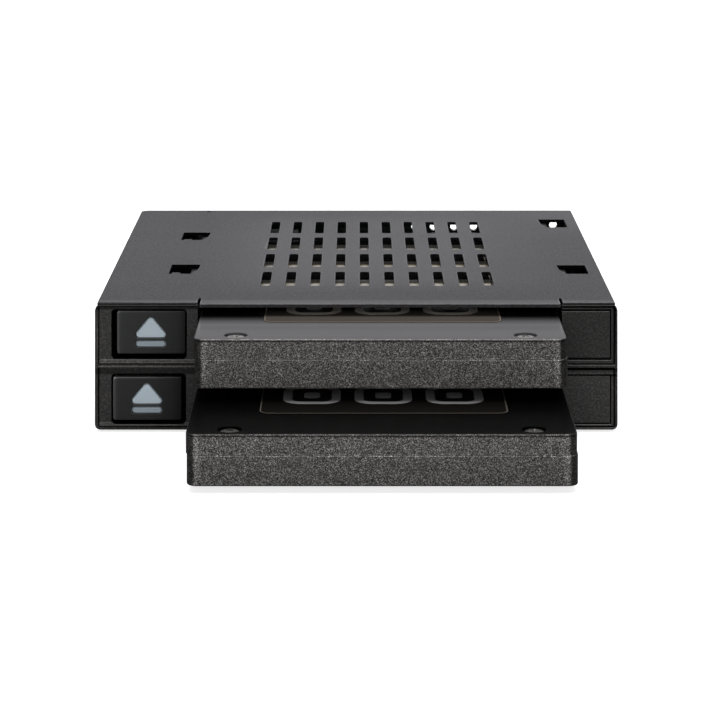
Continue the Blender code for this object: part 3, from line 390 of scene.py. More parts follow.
def satin_grey(name="satin_dark_metal", gloss=0.5, rough=0.155):
    """The drive's flat top: a smooth dark coat."""
    g = Graph(name)
    cloud = g.noise(45, 4.0, 0.6)
    grain = g.noise(3000, 3.0, 0.6)
    base = g.mix(cloud, (0.0042, 0.0041, 0.0044), (0.0062, 0.006, 0.0064))
    covered = g.along(1, (-53.5 + 0.5, 0.0), (-53.5 + 4.0, 1.0))
    # the lower lid is darkened by half: painted shade under the upper drive
    if gloss < 0.02:
        base = g.scaled(base, 0.5)
    else:
        # painted sheen: a pale reflection laid over the upper lid in front of the bezel
        painted_sheen = g.along(1, (-53.5 - 24.0, 0.036), (-53.5 - 21.0, 0.05), (-53.5 - 14.5, 0.092), (-53.5 - 11.0, 0.125), (-53.5 - 9.2, 0.155), (-53.5 - 7.5, 0.20), (-53.5 - 5.6, 0.17), (-53.5 - 3.6, 0.12), (-53.5 - 2.0, 0.055), (-53.5, 0.01))
        base = g.mix(painted_sheen, base, (0.98, 0.965, 1.0))
        # under the cover: painted light where it falls through the slots, painted shadow under the webs between them
        base = g.mix(covered, base, g.mix(g.under_slots(), (0.004, 0.004, 0.004), (0.62, 0.59, 0.53)))
    g.set(
        Base_Color=base,
        Roughness=g.math("MULTIPLY_ADD", cloud, 0.05, g.math("MULTIPLY_ADD", grain, 0.05, rough)),
        Specular_IOR_Level=g.math("MULTIPLY", g.math("SUBTRACT", 1.0, covered), gloss),
        Normal=g.bump(grain, 0.15, 0.03),
    )
    return g.mat


def label_film(name="label_film", painted_shading=1.0, gloss=0.0):
    g = Graph(name)
    cloud = g.noise(90, 4.0, 0.6)
    specks = g.ramp(g.cells(480), (0.05, 1.0), (0.10, 0.0))
    base = g.mix(cloud, (0.087, 0.074, 0.064), (0.104, 0.090, 0.078))
    base = g.mix(g.math("MULTIPLY", specks, 0.18), base, (0.16, 0.14, 0.12))
    # a scale below 1 darkens the copy as painted shade; the full-bright label gets painted light where it falls through
    # the slots and painted shadow under the webs
    if painted_shading > 0.5:
        covered = g.along(1, (-53.5 + 4.0, 0.0), (-53.5 + 8.0, 1.0))
        base = g.mix(covered, base, g.mix(g.under_slots(), (0.005, 0.005, 0.005), (0.62, 0.57, 0.49)))
    g.set(Base_Color=g.scaled(base, painted_shading), Roughness=g.math("MULTIPLY_ADD", cloud, 0.15, 0.42), Normal=g.bump(cloud, 0.1, 0.05))
    g.bsdf.inputs["Specular IOR Level"].default_value = gloss
    return g.mat


def print_ink(name, lo, hi, rough=0.4):
    g = Graph(name)
    cloud = g.noise(700, 3.0, 0.6)
    g.set(Base_Color=g.mix(cloud, lo, hi), Roughness=g.math("MULTIPLY_ADD", cloud, 0.1, rough), Normal=g.bump(cloud, 0.1, 0.01))
    return g.mat


def metal(name, lo, hi, rough, metallic=1.0, stretch=None, scale=1400, bump=0.1):
    g = Graph(name)
    lines = g.noise(scale, 4.0, 0.6, stretch=stretch)
    cloud = g.noise(160, 3.0, 0.5)
    base = g.mix(g.math("MULTIPLY_ADD", lines, 0.6, g.math("MULTIPLY", cloud, 0.4)), lo, hi)
    g.set(
        Base_Color=base,
        Roughness=g.math("MULTIPLY_ADD", lines, 0.15, rough),
        Metallic=metallic,
        Normal=g.bump(lines, bump, 0.02),
    )
    return g.mat


def circuit_board():
    """Green solder mask over tracks, with its copper showing faintly."""
    g = Graph("circuit_board")
    tracks = g.cells(360, feature="DISTANCE_TO_EDGE", output="Distance", stretch=(1.0, 1.0, 2.4), randomness=0.7)
    track = g.ramp(tracks, (0.04, 1.0), (0.065, 0.0))
    cloud = g.noise(140, 3.0, 0.5)
    base = g.mix(cloud, (0.004, 0.030, 0.016), (0.006, 0.040, 0.021))
    base = g.mix(g.math("MULTIPLY", track, 0.7), base, (0.010, 0.068, 0.034))
    g.set(Base_Color=base, Roughness=0.3, Coat_Weight=0.3, Normal=g.bump(track, 0.3, 0.03))
    return g.mat


def plain_plastic(name, lo, hi, rough, scale=2500, bump=0.2):
    g = Graph(name)
    grain = g.noise(scale, 3.0, 0.6)
    cloud = g.noise(90, 3.0, 0.5)
    base = g.mix(cloud, lo, hi)
    base = g.mix(g.math("MULTIPLY", g.edges(0.15), 0.3), base, tuple(min(1.0, c * 2.4 + 0.02) for c in hi))
    g.set(Base_Color=base, Roughness=g.math("MULTIPLY_ADD", grain, 0.1, rough), Normal=g.bump(grain, bump, 0.02))
    return g.mat


def ribbon_cable():
    g = Graph("ribbon_cable")
    wave = g.node("ShaderNodeTexWave", wave_type="BANDS", bands_direction="Z")
    g.link(g.coord, wave.inputs["Vector"])
    wave.inputs["Scale"].default_value = 390
    g.set(
        Base_Color=g.mix(wave.outputs["Fac"], (0.30, 0.31, 0.33), (0.44, 0.45, 0.47)),
        Roughness=0.45,
        Normal=g.bump(wave.outputs["Fac"], 0.5, 0.1),
    )
    return g.mat


M = {
    "steel": powder_coat(),
    "abs": textured_abs(),
    "button": button_abs(),
    "lens": icon_lens(),
    "blasted": sandblasted(),
    "satin": satin_grey(gloss=0.03),
    "steel_edge": powder_coat("powder_coated_edge", True),
    "abs_edge": textured_abs("textured_abs_edge", True),
    "button_edge": button_abs("button_edge", True),
    "blasted_edge": sandblasted("painted_highlight_metal_edge", True),
    "label": label_film(),
    # the shaded copies for the lower drive are darker: painted shade under the upper drive
    "satin_low": satin_grey("satin_dark_metal_shaded", 0.014, 0.30),
    "label_low": label_film("label_film_shaded", 0.08, 0.03),
    "line_low": print_ink("label_edge_line_shaded", (0.075, 0.066, 0.052), (0.12, 0.106, 0.085), 0.5),
    # darker screws for the lower drive: painted shade
    "nickel_low": metal("nickel_screw_shaded", (0.16, 0.155, 0.15), (0.24, 0.235, 0.225), 0.26),
    "gold_line": print_ink("label_edge_line", (0.20, 0.17, 0.125), (0.32, 0.275, 0.21), 0.35),
    "pale_ink": print_ink("pale_ink", (0.70, 0.655, 0.60), (0.80, 0.75, 0.69), 0.45),
    # darker ink for the lower drive: painted shade
    "pale_low": print_ink("pale_ink_shaded", (0.27, 0.265, 0.27), (0.34, 0.33, 0.34), 0.45),
    # painted shadow for the inside of the label's rings
    "painted_shadow_fill": print_ink("painted_shadow_fill", (0.004, 0.004, 0.004), (0.007, 0.0065, 0.0065), 0.35),
    "nickel_lid": metal("nickel_lid_screw", (0.26, 0.255, 0.245), (0.40, 0.39, 0.375), 0.30),
    "nickel": metal("nickel_screw", (0.60, 0.59, 0.57), (0.78, 0.77, 0.74), 0.22),
    "black_screw": metal("black_screw", (0.02, 0.02, 0.022), (0.05, 0.05, 0.053), 0.32, 0.7),
    "zinc": metal("zinc_plate", (0.42, 0.43, 0.45), (0.58, 0.59, 0.60), 0.34, stretch=(1.0, 0.05, 1.0)),
    "gold": metal("gold_contacts", (0.75, 0.52, 0.20), (0.90, 0.66, 0.30), 0.22),
    "solder": metal("solder", (0.55, 0.55, 0.56), (0.72, 0.72, 0.73), 0.3),
    "board": circuit_board(),
    "guide": plain_plastic("guide_plastic", (0.016, 0.016, 0.018), (0.024, 0.024, 0.026), 0.5),
    "connector": plain_plastic("connector_plastic", (0.009, 0.009, 0.010), (0.014, 0.014, 0.016), 0.4),
    "chip": plain_plastic("chip_package", (0.012, 0.012, 0.013), (0.020, 0.020, 0.021), 0.42),
    "ceramic": plain_plastic("capacitor_body", (0.30, 0.21, 0.13), (0.40, 0.29, 0.18), 0.4),
    "led": plain_plastic("lamp_body", (0.70, 0.74, 0.76), (0.80, 0.84, 0.86), 0.25),
    "ribbon": ribbon_cable(),
}

BY_SLOT = {
    "black_steel": "steel", "black_abs": "abs", "button_abs": "button", "lens": "lens",
    "guide_plastic": "guide", "zinc": "zinc", "black_screw": "black_screw", "bright_steel": "nickel",
    "board": "board", "connector": "connector", "led": "led", "ribbon": "ribbon",
    "drive_lid": "satin", "drive_base": "blasted", "label": "label",
}  # fmt: skip
SLOT = {s["node"]: s["material_slot"] for s in frame["record"]["subparts"]}


# ================================================================ CAD nodes: material, softened edges
def soften(ob, width_mm, segments=2, angle=30, edge=None):
    """Joins the separate facets and rounds the edges a little."""
    w = ob.modifiers.new("weld", "WELD")
    w.merge_threshold = 2e-7
    b = ob.modifiers.new("edges", "BEVEL")
    b.width = width_mm * MM
    b.segments = segments
    b.limit_method = "ANGLE"
    b.angle_limit = math.radians(angle)
    b.use_clamp_overlap = False
    b.miter_outer = "MITER_ARC"
    if edge:
        ob.data.materials.append(edge)
        b.material = 1
    b.harden_normals = True


BEVELS = {
    "top_cover": 0.2, "bottom_chassis": 0.16, "front_bezel": 0.11, "divider_shelf": 0.08,
    "upper_eject_button": 0.13, "lower_eject_button": 0.13, "left_drive_guide": 0.2, "right_drive_guide": 0.2,
    "front_rod_guide": 0.2, "rear_rod_guide": 0.2, "upper_eject_icon_lens": 0.07, "lower_eject_icon_lens": 0.07,
}  # fmt: skip

for name, ob in NODES.items():
    ob.data.materials.clear()
    ob.data.materials.append(M["label_low" if name == "lower_drive_label" else BY_SLOT[SLOT[name]]])
    if ob.data.has_custom_normals:
        with bpy.context.temp_override(object=ob, active_object=ob, selected_objects=[ob]):
            bpy.ops.mesh.customdata_custom_splitnormals_clear()
    for p in ob.data.polygons:
        p.use_smooth = True
    width = BEVELS.get(name)
    if width is None:
        width = 0.08 if "connector" in name or "socket" in name else 0.05
    soften(ob, width, edge={"steel": M["steel_edge"], "abs": M["abs_edge"], "button": M["button_edge"]}.get(BY_SLOT[SLOT[name]]))

# ================================================================ mesh helpers, in millimetres of the CAD's frame
def rounded_rect(x0, x1, y0, y1, r, n=10):
    out = []
    for cx, cy, start in ((x1 - r, y0 + r, -90), (x1 - r, y1 - r, 0), (x0 + r, y1 - r, 90), (x0 + r, y0 + r, 180)):
        for i in range(n + 1):
            t = math.radians(start + 90 * i / n)
            out.append((cx + r * math.cos(t), cy + r * math.sin(t)))
    return out


def loft(rings):
    """A closed body through rings of equal length, its ends filled."""
    bm = bmesh.new()
    rows = [[bm.verts.new(Vector(p) * MM) for p in ring] for ring in rings]
    n = len(rows[0])
    for a, b in zip(rows, rows[1:]):
        for i in range(n):
            bm.faces.new((a[i], a[(i + 1) % n], b[(i + 1) % n], b[i]))
    bm.faces.new(rows[0][::-1])
    bm.faces.new(rows[-1])
    return outward(bm)


def outward(bm):
    bmesh.ops.recalc_face_normals(bm, faces=bm.faces)
    if bm.calc_volume(signed=True) < 0:
        bmesh.ops.reverse_faces(bm, faces=bm.faces)
    return bm


def lathe(profile, at, axis="z", n=48):
    """A body turned round an axis through a point. The profile is (radius, height) pairs whose first and last radius are 0."""
    x, y, z = at
    place = {
        "z": lambda a, b, h: (x + a, y + b, z + h),
        "y": lambda a, b, h: (x + a, y + h, z + b),
        "x": lambda a, b, h: (x + h, y + a, z + b),
    }[axis]
    bm = bmesh.new()
    rows = []
    for r, h in profile:
        if r < 1e-6:
            rows.append([bm.verts.new(Vector(place(0, 0, h)) * MM)])
        else:
            rows.append([bm.verts.new(Vector(place(r * math.cos(2 * math.pi * i / n), r * math.sin(2 * math.pi * i / n), h)) * MM) for i in range(n)])
    for a, b in zip(rows, rows[1:]):
        for i in range(n):
            j = (i + 1) % n
            if len(a) == 1:
                bm.faces.new((a[0], b[i], b[j]))
            elif len(b) == 1:
                bm.faces.new((a[i], a[j], b[0]))
            else:
                bm.faces.new((a[i], a[j], b[j], b[i]))
    return outward(bm)


def prism(outline, z0, z1, axis="z"):
    place = {
        "z": lambda a, b, c: (a, b, c),
        "y": lambda a, b, c: (a, c, b),
        "x": lambda a, b, c: (c, a, b),
    }[axis]
    return loft([[place(a, b, z0) for a, b in outline], [place(a, b, z1) for a, b in outline]])


def slab(x0, x1, y0, y1, z0, z1, r=0.0, n=4, edge=0.0):
    """A plate with rounded corners and, if asked, a rounded upper edge."""
    flat = rounded_rect(x0, x1, y0, y1, r, n) if r else [(x0, y0), (x1, y0), (x1, y1), (x0, y1)]
    rings = [[(*p, z0) for p in flat]]
    if edge:
        for k in range(4):
            t = math.radians(90 * k / 3)
            d = edge * (1 - math.cos(t))
            inner = rounded_rect(x0 + d, x1 - d, y0 + d, y1 - d, max(r - d, 0.01), n) if r else [(x0 + d, y0 + d), (x1 - d, y0 + d), (x1 - d, y1 - d), (x0 + d, y1 - d)]
            rings.append([(*p, z1 - edge * (1 - math.sin(t))) for p in inner])
    else:
        rings.append([(*p, z1) for p in flat])
    return loft(rings)


def merged(parts):
    """Several bodies in one mesh."""
    bm = bmesh.new()
    for part in parts:
        me = bpy.data.meshes.new("part")
        part.to_mesh(me)
        part.free()
        bm.from_mesh(me)
        bpy.data.meshes.remove(me)
    return bm


def make(name, bm, material, smooth=32):
    me = bpy.data.meshes.new(name)
    bm.to_mesh(me)
    bm.free()
    for m in material if isinstance(material, (list, tuple)) else [material]:
        me.materials.append(m)
    ob = bpy.data.objects.new(name, me)
    bpy.context.scene.collection.objects.link(ob)
    if smooth:
        me.shade_smooth()
        me.set_sharp_from_angle(angle=math.radians(smooth))
    return ob


def carve(ob, groups, operation="DIFFERENCE"):
    """Cuts bodies out of an object and keeps the result as its mesh."""
    tools = []
    for bm in groups:
        me = bpy.data.meshes.new("tool")
        bm.to_mesh(me)
        bm.free()
        tool = bpy.data.objects.new("tool", me)
        bpy.context.scene.collection.objects.link(tool)
        mod = ob.modifiers.new("cut", "BOOLEAN")
        mod.operation, mod.solver, mod.object = operation, "EXACT", tool
        tools.append(tool)
    bpy.context.view_layer.update()
    result = bpy.data.meshes.new_from_object(ob.evaluated_get(bpy.context.evaluated_depsgraph_get()))
    result.name = ob.name
    ob.modifiers.clear()
    old, ob.data = ob.data, result
    bpy.data.meshes.remove(old)
    for tool in tools:
        data = tool.data
        bpy.data.objects.remove(tool)
        bpy.data.meshes.remove(data)
    return ob


def finish_mesh(ob, angle=32):
    """Welds, clears degenerate edges and faces, and sets the shading."""
    bm = bmesh.new()
    bm.from_mesh(ob.data)
    bmesh.ops.remove_doubles(bm, verts=bm.verts, dist=1e-7)
    bmesh.ops.dissolve_degenerate(bm, dist=1e-8, edges=bm.edges)
    bm.to_mesh(ob.data)
    bm.free()
    ob.data.shade_smooth()
    ob.data.set_sharp_from_angle(angle=math.radians(angle))
    n = ob.modifiers.new("normals", "WEIGHTED_NORMAL")
    n.keep_sharp = True


def mm(node):
    lo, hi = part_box(node)
    return [c / MM for c in lo], [c / MM for c in hi]


def arc(r, z, down, n=5):
    """(inset, height) pairs of a rounded edge: from the side wall to the flat face."""
    out = []
    for k in range(n + 1):
        t = math.radians(90 * k / n)
        out.append((r * (1 - math.cos(t)), z + (-1 if down else 1) * r * (math.sin(t) - 1)))
    return out


# ================================================================ drives
SEAM = 5.5
for bay in BAYS:
    body = f"{bay}_drive"
    lid_lo, lid_hi = mm(f"{bay}_drive_lid")
    base_lo, base_hi = mm(f"{bay}_drive_base")
    zb, y0, y1 = base_lo[2], base_lo[1], base_hi[1]
    cx = (lid_lo[0] + base_hi[0]) / 2
    top = zb + 9.3
    seam = zb + SEAM
    screws = [(cx + sx * 27.25, y0 + sy) for sy in (3.6, 88.0) for sx in (-1, 1)]

    def shell(lo, hi, profile):
        rings = []
        for inset, z in profile:
            rings.append([(*p, z) for p in rounded_rect(lo[0] + inset, hi[0] - inset, y0 + inset, y1 - inset, 1.9 - inset, 12)])
        return loft(rings)

    cavity = [
        (cx + a, y0 + b)
        for a, b in (
            (-33.7, 7.5), (33.7, 7.5), (33.7, 84.5), (23.7, 84.5), (23.7, 91.5), (33.7, 91.5),
            (33.7, 98.8), (-33.7, 98.8), (-33.7, 91.5), (-23.7, 91.5), (-23.7, 84.5), (-33.7, 84.5),
        )
    ]  # fmt: skip
    plug = (cx - 9.0, cx + 31.5, y0 + 96.0, y0 + 102.0, zb + 2.2, zb + 7.2)

    lid = make(
        f"{bay}_drive_lid_shell",
        shell(lid_lo, lid_hi, [(0.10, seam + 0.02), (0.0, seam + 0.12)] + arc(0.22, top, False)),
        [M["blasted"], M["satin" if bay == "upper" else "satin_low"], M["blasted_edge"]],
    )
    holes = []
    for sx, sy in screws:
        holes.append(lathe([(0, -0.9), (2.0, -0.9), (2.15, -0.75), (2.15, -0.12), (2.28, 0.0), (2.28, 0.4), (0, 0.4)], (sx, sy, top), n=64))
        holes.append(lathe([(0, -6), (0.95, -6), (0.95, -0.5), (0, -0.5)], (sx, sy, top), n=24))
    carve(lid, [prism(cavity, zb + 3, top - 1.0), slab(*plug), *holes])
    for p in lid.data.polygons:
        n, c = p.normal, p.center / MM
        rim = min(c.x - lid_lo[0], lid_hi[0] - c.x, c.y - y0, y1 - c.y)
        p.material_index = 1 if abs(n.z) > 0.97 or 1.0 < rim < 1.9 + 0.3 or rim > 1.0 and c.z > top - 1.0 else 2 if n.z > 0.12 and c.z > top - 0.4 else 0
    finish_mesh(lid)
    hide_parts(f"{bay}_drive_lid")
    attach(lid, body)

    base = make(
        f"{bay}_drive_base_shell",
        shell(base_lo, base_hi, arc(0.30, zb, True)[::-1] + [(0.0, seam - 0.12), (0.10, seam - 0.02)]),
        [M["blasted"], M["blasted_edge"]],
    )
    taps = []
    for y in (9.4, 86.0):
        for side, x in ((-1, base_lo[0]), (1, base_hi[0])):
            prof = [(0, -0.5), (1.5, -0.5), (1.5, -0.02), (1.25, 0.25), (1.25, 2.6), (0, 2.6)]
            taps.append(lathe([(r, -side * h) for r, h in prof], (x, y0 + y, zb + 3.0), "x", n=40))
    for sx, sy in screws:
        taps.append(lathe([(0, -4.5), (0.95, -4.5), (0.95, 1.0), (0, 1.0)], (sx, sy, seam), n=24))
    carve(base, [prism(cavity, zb + 1.0, zb + 8), slab(*plug), *taps])
    for p in base.data.polygons:
        n, c = p.normal, p.center / MM
        p.material_index = 1 if (0.2 < -n.z < 0.97 and c.z < zb + 0.4) or (0.2 < n.z < 0.97 and c.z > seam - 0.2) else 0
    finish_mesh(base)
    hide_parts(f"{bay}_drive_base")
    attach(base, body)

    # threads in the side fixing holes
    rings = []
    for y in (9.4, 86.0):
        for side, x in ((-1, base_lo[0]), (1, base_hi[0])):
            prof = []
            for k in range(5):
                h = 0.45 + 0.42 * k
                prof += [(1.22, h), (1.02, h + 0.14), (1.22, h + 0.28)]
            prof = [(1.24, 0.40)] + prof + [(1.24, 2.55)]
            bm = lathe([(0, 2.5), (0.9, 2.5), (0.9, 2.58)] + [(r, h) for r, h in prof[::-1]] + [(1.245, 0.38), (1.245, 2.59), (0, 2.59)], (0, 0, 0), "x", n=32)
            bmesh.ops.scale(bm, vec=(-side, 1, 1), verts=bm.verts)
            bmesh.ops.translate(bm, vec=Vector((x, y0 + y, zb + 3.0)) * MM, verts=bm.verts)
            rings.append(outward(bm))
    threads = make(f"{bay}_drive_side_threads", merged(rings), M["black_screw"])
    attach(threads, body)

    # pan head screws with a cross recess
    for tag, (sx, sy) in zip(("front_left", "front_right", "rear_left", "rear_right"), screws):
        node = f"{bay}_drive_screw_{tag}"
        dome = [(1.80 * math.cos(math.radians(a)), 8.80 + 0.36 * math.sin(math.radians(a))) for a in (0, 15, 30, 45, 60, 75)]
        profile = [(0, 2.4), (0.6, 2.4), (0.8, 2.7), (0.8, 8.5), (1.72, 8.5), (1.80, 8.58)] + dome + [(0, 9.16)]
        screw = make(f"{node}_head", lathe(profile, (sx, sy, zb), n=48), M["nickel_lid" if bay == "upper" else "nickel_low"])
        turn = {"front_left": 0.35, "front_right": 0.9, "rear_left": 0.15, "rear_right": 1.2}[tag] + (0.4 if bay == "lower" else 0)
        cutters = []
        for quarter in (0, 1):
            bm = loft(
                [
                    [(-0.55, -0.12, 8.62), (0.55, -0.12, 8.62), (0.55, 0.12, 8.62), (-0.55, 0.12, 8.62)],
                    [(-1.15, -0.24, 9.3), (1.15, -0.24, 9.3), (1.15, 0.24, 9.3), (-1.15, 0.24, 9.3)],
                ]
            )
            c, s_ = math.cos(turn + quarter * math.pi / 2), math.sin(turn + quarter * math.pi / 2)
            for v in bm.verts:
                x, y = v.co.x, v.co.y
                v.co.x, v.co.y = x * c - y * s_, x * s_ + y * c
            bmesh.ops.translate(bm, vec=Vector((sx, sy, zb)) * MM, verts=bm.verts)
            cutters.append(bm)
        carve(screw, cutters)
        finish_mesh(screw, 28)
        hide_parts(node)
        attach(screw, body)

    # label: its printed edge line, and three plain rounded squares in place of the original print, with painted shadow
    # inside them
    lab_lo, lab_hi = mm(f"{bay}_drive_label")
    z = lab_hi[2]

    def frame_strip(x0, x1, ya, yb, r, width, z0, z1):
        outer = rounded_rect(x0, x1, ya, yb, r, 10)
        inner = rounded_rect(x0 + width, x1 - width, ya + width, yb - width, max(0.05, r - width), 10)
        bm = bmesh.new()
        rows = [[bm.verts.new(Vector((*p, h)) * MM) for p in ring] for ring, h in ((outer, z0), (outer, z1), (inner, z1), (inner, z0))]
        n = len(outer)
        for k in range(4):
            a, b = rows[k], rows[(k + 1) % 4]
            for i in range(n):
                bm.faces.new((a[i], a[(i + 1) % n], b[(i + 1) % n], b[i]))
        return outward(bm)

    line = make(f"{bay}_label_edge_line", frame_strip(lab_lo[0] + 0.12, lab_hi[0] - 0.12, lab_lo[1] + 0.12, lab_hi[1] - 0.12, 1.9, 0.24, z - 0.03, z + 0.02), M["gold_line" if bay == "upper" else "line_low"])
    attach(line, body)
    strokes, shadow_fills = [], []
    for k in (-1, 0, 1):
        gx, gy = cx + 0.5 + 13.4 * k, y0 + 21.6
        strokes.append(frame_strip(gx - 5.4, gx + 5.4, gy, gy + 13.5, 3.6, 1.7, z - 0.03, z + 0.03))
        # painted shadow inside each ring, where the cover's shade falls
        shadow_fills.append(slab(gx - 3.7, gx + 3.7, gy + 1.7, gy + 11.8, z - 0.03, z + 0.012, 1.9, 8))
        strokes.append(slab(gx - 1.5, gx + 1.5, gy + 4.6, gy + 8.9, z - 0.03, z + 0.03, 0.8, 6))
    for gy, half in ((y0 + 45.0, 17.5), (y0 + 49.5, 17.5), (y0 + 54.0, 11.0)):
        strokes.append(slab(cx + 0.5 - half, cx + 0.5 + half, gy, gy + 1.1, z - 0.03, z + 0.03, 0.5, 5))
    art = make(f"{bay}_label_rings", merged(strokes), M["pale_ink" if bay == "upper" else "pale_low"])
    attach(art, body)
    art = make(f"{bay}_label_shadow_fills", merged(shadow_fills), M["painted_shadow_fill"])
    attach(art, body)

    # gold contacts of the drive's plug
    lo, hi = mm(f"{bay}_drive_connector")
    strips = []
    for k in range(22):
        x = cx - 5.4 + 1.27 * k + (2.2 if k > 6 else 0)
        strips.append(slab(x - 0.36, x + 0.36, y0 + 96.2, y0 + 99.3, zb + 5.39, zb + 5.45))
    gold = make(f"{bay}_drive_contacts", merged(strips), M["gold"], smooth=0)
    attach(gold, body)

    # ================================================================ return springs, in a finer coil
    lo, hi = mm(f"{bay}_return_spring")
    rod_x, rod_z = (lo[0] + hi[0]) / 2, (lo[2] + hi[2]) / 2
    start, end = lo[1], hi[1]
    turns, wire, around, section = 6, 0.27, 36, 10
    mean = (hi[0] - lo[0]) / 2 - wire
    total = turns * around
    rings = []
    for i in range(total + 1):
        f = i / total
        # the end coils lie flat against their seats
        y = start + wire + (end - start - 2 * wire) * min(1.0, max(0.0, (f - 0.09) / 0.82)) + (0.35 * (f - 0.5))
        y = min(max(y, start + wire), end - wire)
        t = 2 * math.pi * i / around
        c, s_ = math.cos(t), math.sin(t)
        rings.append([(rod_x + (mean + wire * math.cos(a)) * c, y + wire * math.sin(a), rod_z + (mean + wire * math.cos(a)) * s_) for a in [2 * math.pi * k / section for k in range(section)]])
    spring = make(f"{bay}_return_coil", loft(rings), M["nickel"])
    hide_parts(f"{bay}_return_spring")
    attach(spring, "enclosure")
    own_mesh(spring)

# ================================================================ details of the backplane
board_lo, board_hi = mm("backplane_board")
yr = board_hi[1]
gold, pins = [], []
for bay in BAYS:
    for kind, count in (("data", 7), ("power", 15)):
        lo, hi = mm(f"{bay}_{kind}_connector")
        blade_x = (lo[0] + 2.2 + hi[0] - 2.6) / 2
        for k in range(count):
            x = blade_x + 1.27 * (k - (count - 1) / 2)
            half = 0.33
            gold.append(slab(x - half, x + half, lo[1] + 1.8, lo[1] + 5.8, lo[2] + 3.09, lo[2] + 3.15))
            pins.append(slab(x - 0.16, x + 0.16, yr - 0.02, yr + 0.36, lo[2] - 0.9, lo[2] + 0.6))
contacts = make("rear_contacts", merged(gold), M["gold"], smooth=0)
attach(contacts, "enclosure")
legs = make("rear_connector_legs", merged(pins), M["solder"], smooth=0)
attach(legs, "enclosure")


def chip(x, z, w, h, t=0.9):
    """A packaged chip on the board's rear face, with a chamfered edge and a pin-one dimple left off."""
    d = 0.18
    rings = [
        [(x - w / 2, yr - 0.02, z - h / 2), (x + w / 2, yr - 0.02, z - h / 2), (x + w / 2, yr - 0.02, z + h / 2), (x - w / 2, yr - 0.02, z + h / 2)],
        [(x - w / 2, yr + t - d, z - h / 2), (x + w / 2, yr + t - d, z - h / 2), (x + w / 2, yr + t - d, z + h / 2), (x - w / 2, yr + t - d, z + h / 2)],
        [(x - w / 2 + d, yr + t, z - h / 2 + d), (x + w / 2 - d, yr + t, z - h / 2 + d), (x + w / 2 - d, yr + t, z + h / 2 - d), (x - w / 2 + d, yr + t, z + h / 2 - d)],
    ]
    return loft(rings)


chips, legs, parts, caps = [], [], [], []
for x, z, w, h in ((-36.5, 16.0, 5.0, 4.0), (33.0, 12.2, 5.2, 5.2), (-36.5, 7.5, 4.0, 5.0)):
    chips.append(chip(x, z, w, h))
    for k in range(int(w / 0.9)):
        px = x + 0.9 * (k - (int(w / 0.9) - 1) / 2)
        for side in (-1, 1):
            legs.append(slab(px - 0.16, px + 0.16, yr - 0.02, yr + 0.22, z + side * (h / 2 + 0.35) - 0.42, z + side * (h / 2 + 0.35) + 0.42))
for k, (x, z) in enumerate(
    [(-30.5, 19.8), (-30.5, 17.6), (-30.5, 4.2), (-30.5, 6.4), (-43.0, 19.5), (-40.5, 19.5), (-43.0, 3.6), (3.4, 15.4), (3.4, 5.4), (3.4, 10.4), (5.6, 10.4), (29.0, 17.0), (31.2, 17.0), (33.4, 17.0), (29.0, 6.8), (31.2, 6.8), (40.2, 5.0), (40.2, 19.0), (-14.0, 21.2), (-11.6, 21.2), (-9.2, 21.2)]
):
    parts.append(chip(x, z, 0.9, 0.75, 0.5))
    for side in (-1, 1):
        legs.append(chip(x + side * 0.62, z, 0.38, 0.8, 0.52))
for x, z in ((-23.0, 21.2), (6.6, 21.2)):
    caps.append(lathe([(0, 0), (1.55, 0), (1.7, 0.25), (1.7, 3.9), (1.45, 4.2), (1.2, 4.2), (1.1, 4.1), (0, 4.1)], (x, yr, z), "y", 40))
for name, bodies, material, slot in (
    ("backplane_chips", chips, "chip", "connector"),
    ("backplane_solder", legs, "solder", "bright_steel"),
    ("backplane_passives", parts, "ceramic", "connector"),
    ("backplane_capacitors", caps, "solder", "bright_steel"),
):
    ob = make(name, merged(bodies), M[material], smooth=30 if name == "backplane_capacitors" else 0)
    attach(ob, "enclosure")

# ================================================================ stage
def floor_material():
    """White to the camera, with the contact shadows of what stands on it; a dim grey to everything else, so it doesn't fill the object's undersides."""
    g = Graph("pale_floor")
    cloud = g.noise(6, 2.0, 0.5)
    g.set(Base_Color=g.mix(cloud, (0.88, 0.88, 0.88), (0.90, 0.90, 0.90)), Roughness=0.8, Emission_Color=(1.0, 1.0, 1.0), Emission_Strength=0.76)
    g.bsdf.inputs["Specular IOR Level"].default_value = 0.0
    dim = g.node("ShaderNodeBsdfDiffuse")
    dim.inputs["Color"].default_value = (0.16, 0.16, 0.16, 1.0)
    seen = g.node("ShaderNodeLightPath").outputs["Is Camera Ray"]
    pick = g.node("ShaderNodeMixShader")
    g.link(seen, pick.inputs[0])
    g.link(dim.outputs[0], pick.inputs[1])
    g.link(g.bsdf.outputs[0], pick.inputs[2])
    g.link(pick.outputs[0], g.out.inputs["Surface"])
    return g.mat


me = bpy.data.meshes.new("floor")
bm = bmesh.new()
bmesh.ops.create_grid(bm, x_segments=1, y_segments=1, size=30.0)
bm.to_mesh(me)
bm.free()
me.materials.append(floor_material())
floor = bpy.data.objects.new("floor", me)
floor.location.z = -0.0002
bpy.context.scene.collection.objects.link(floor)

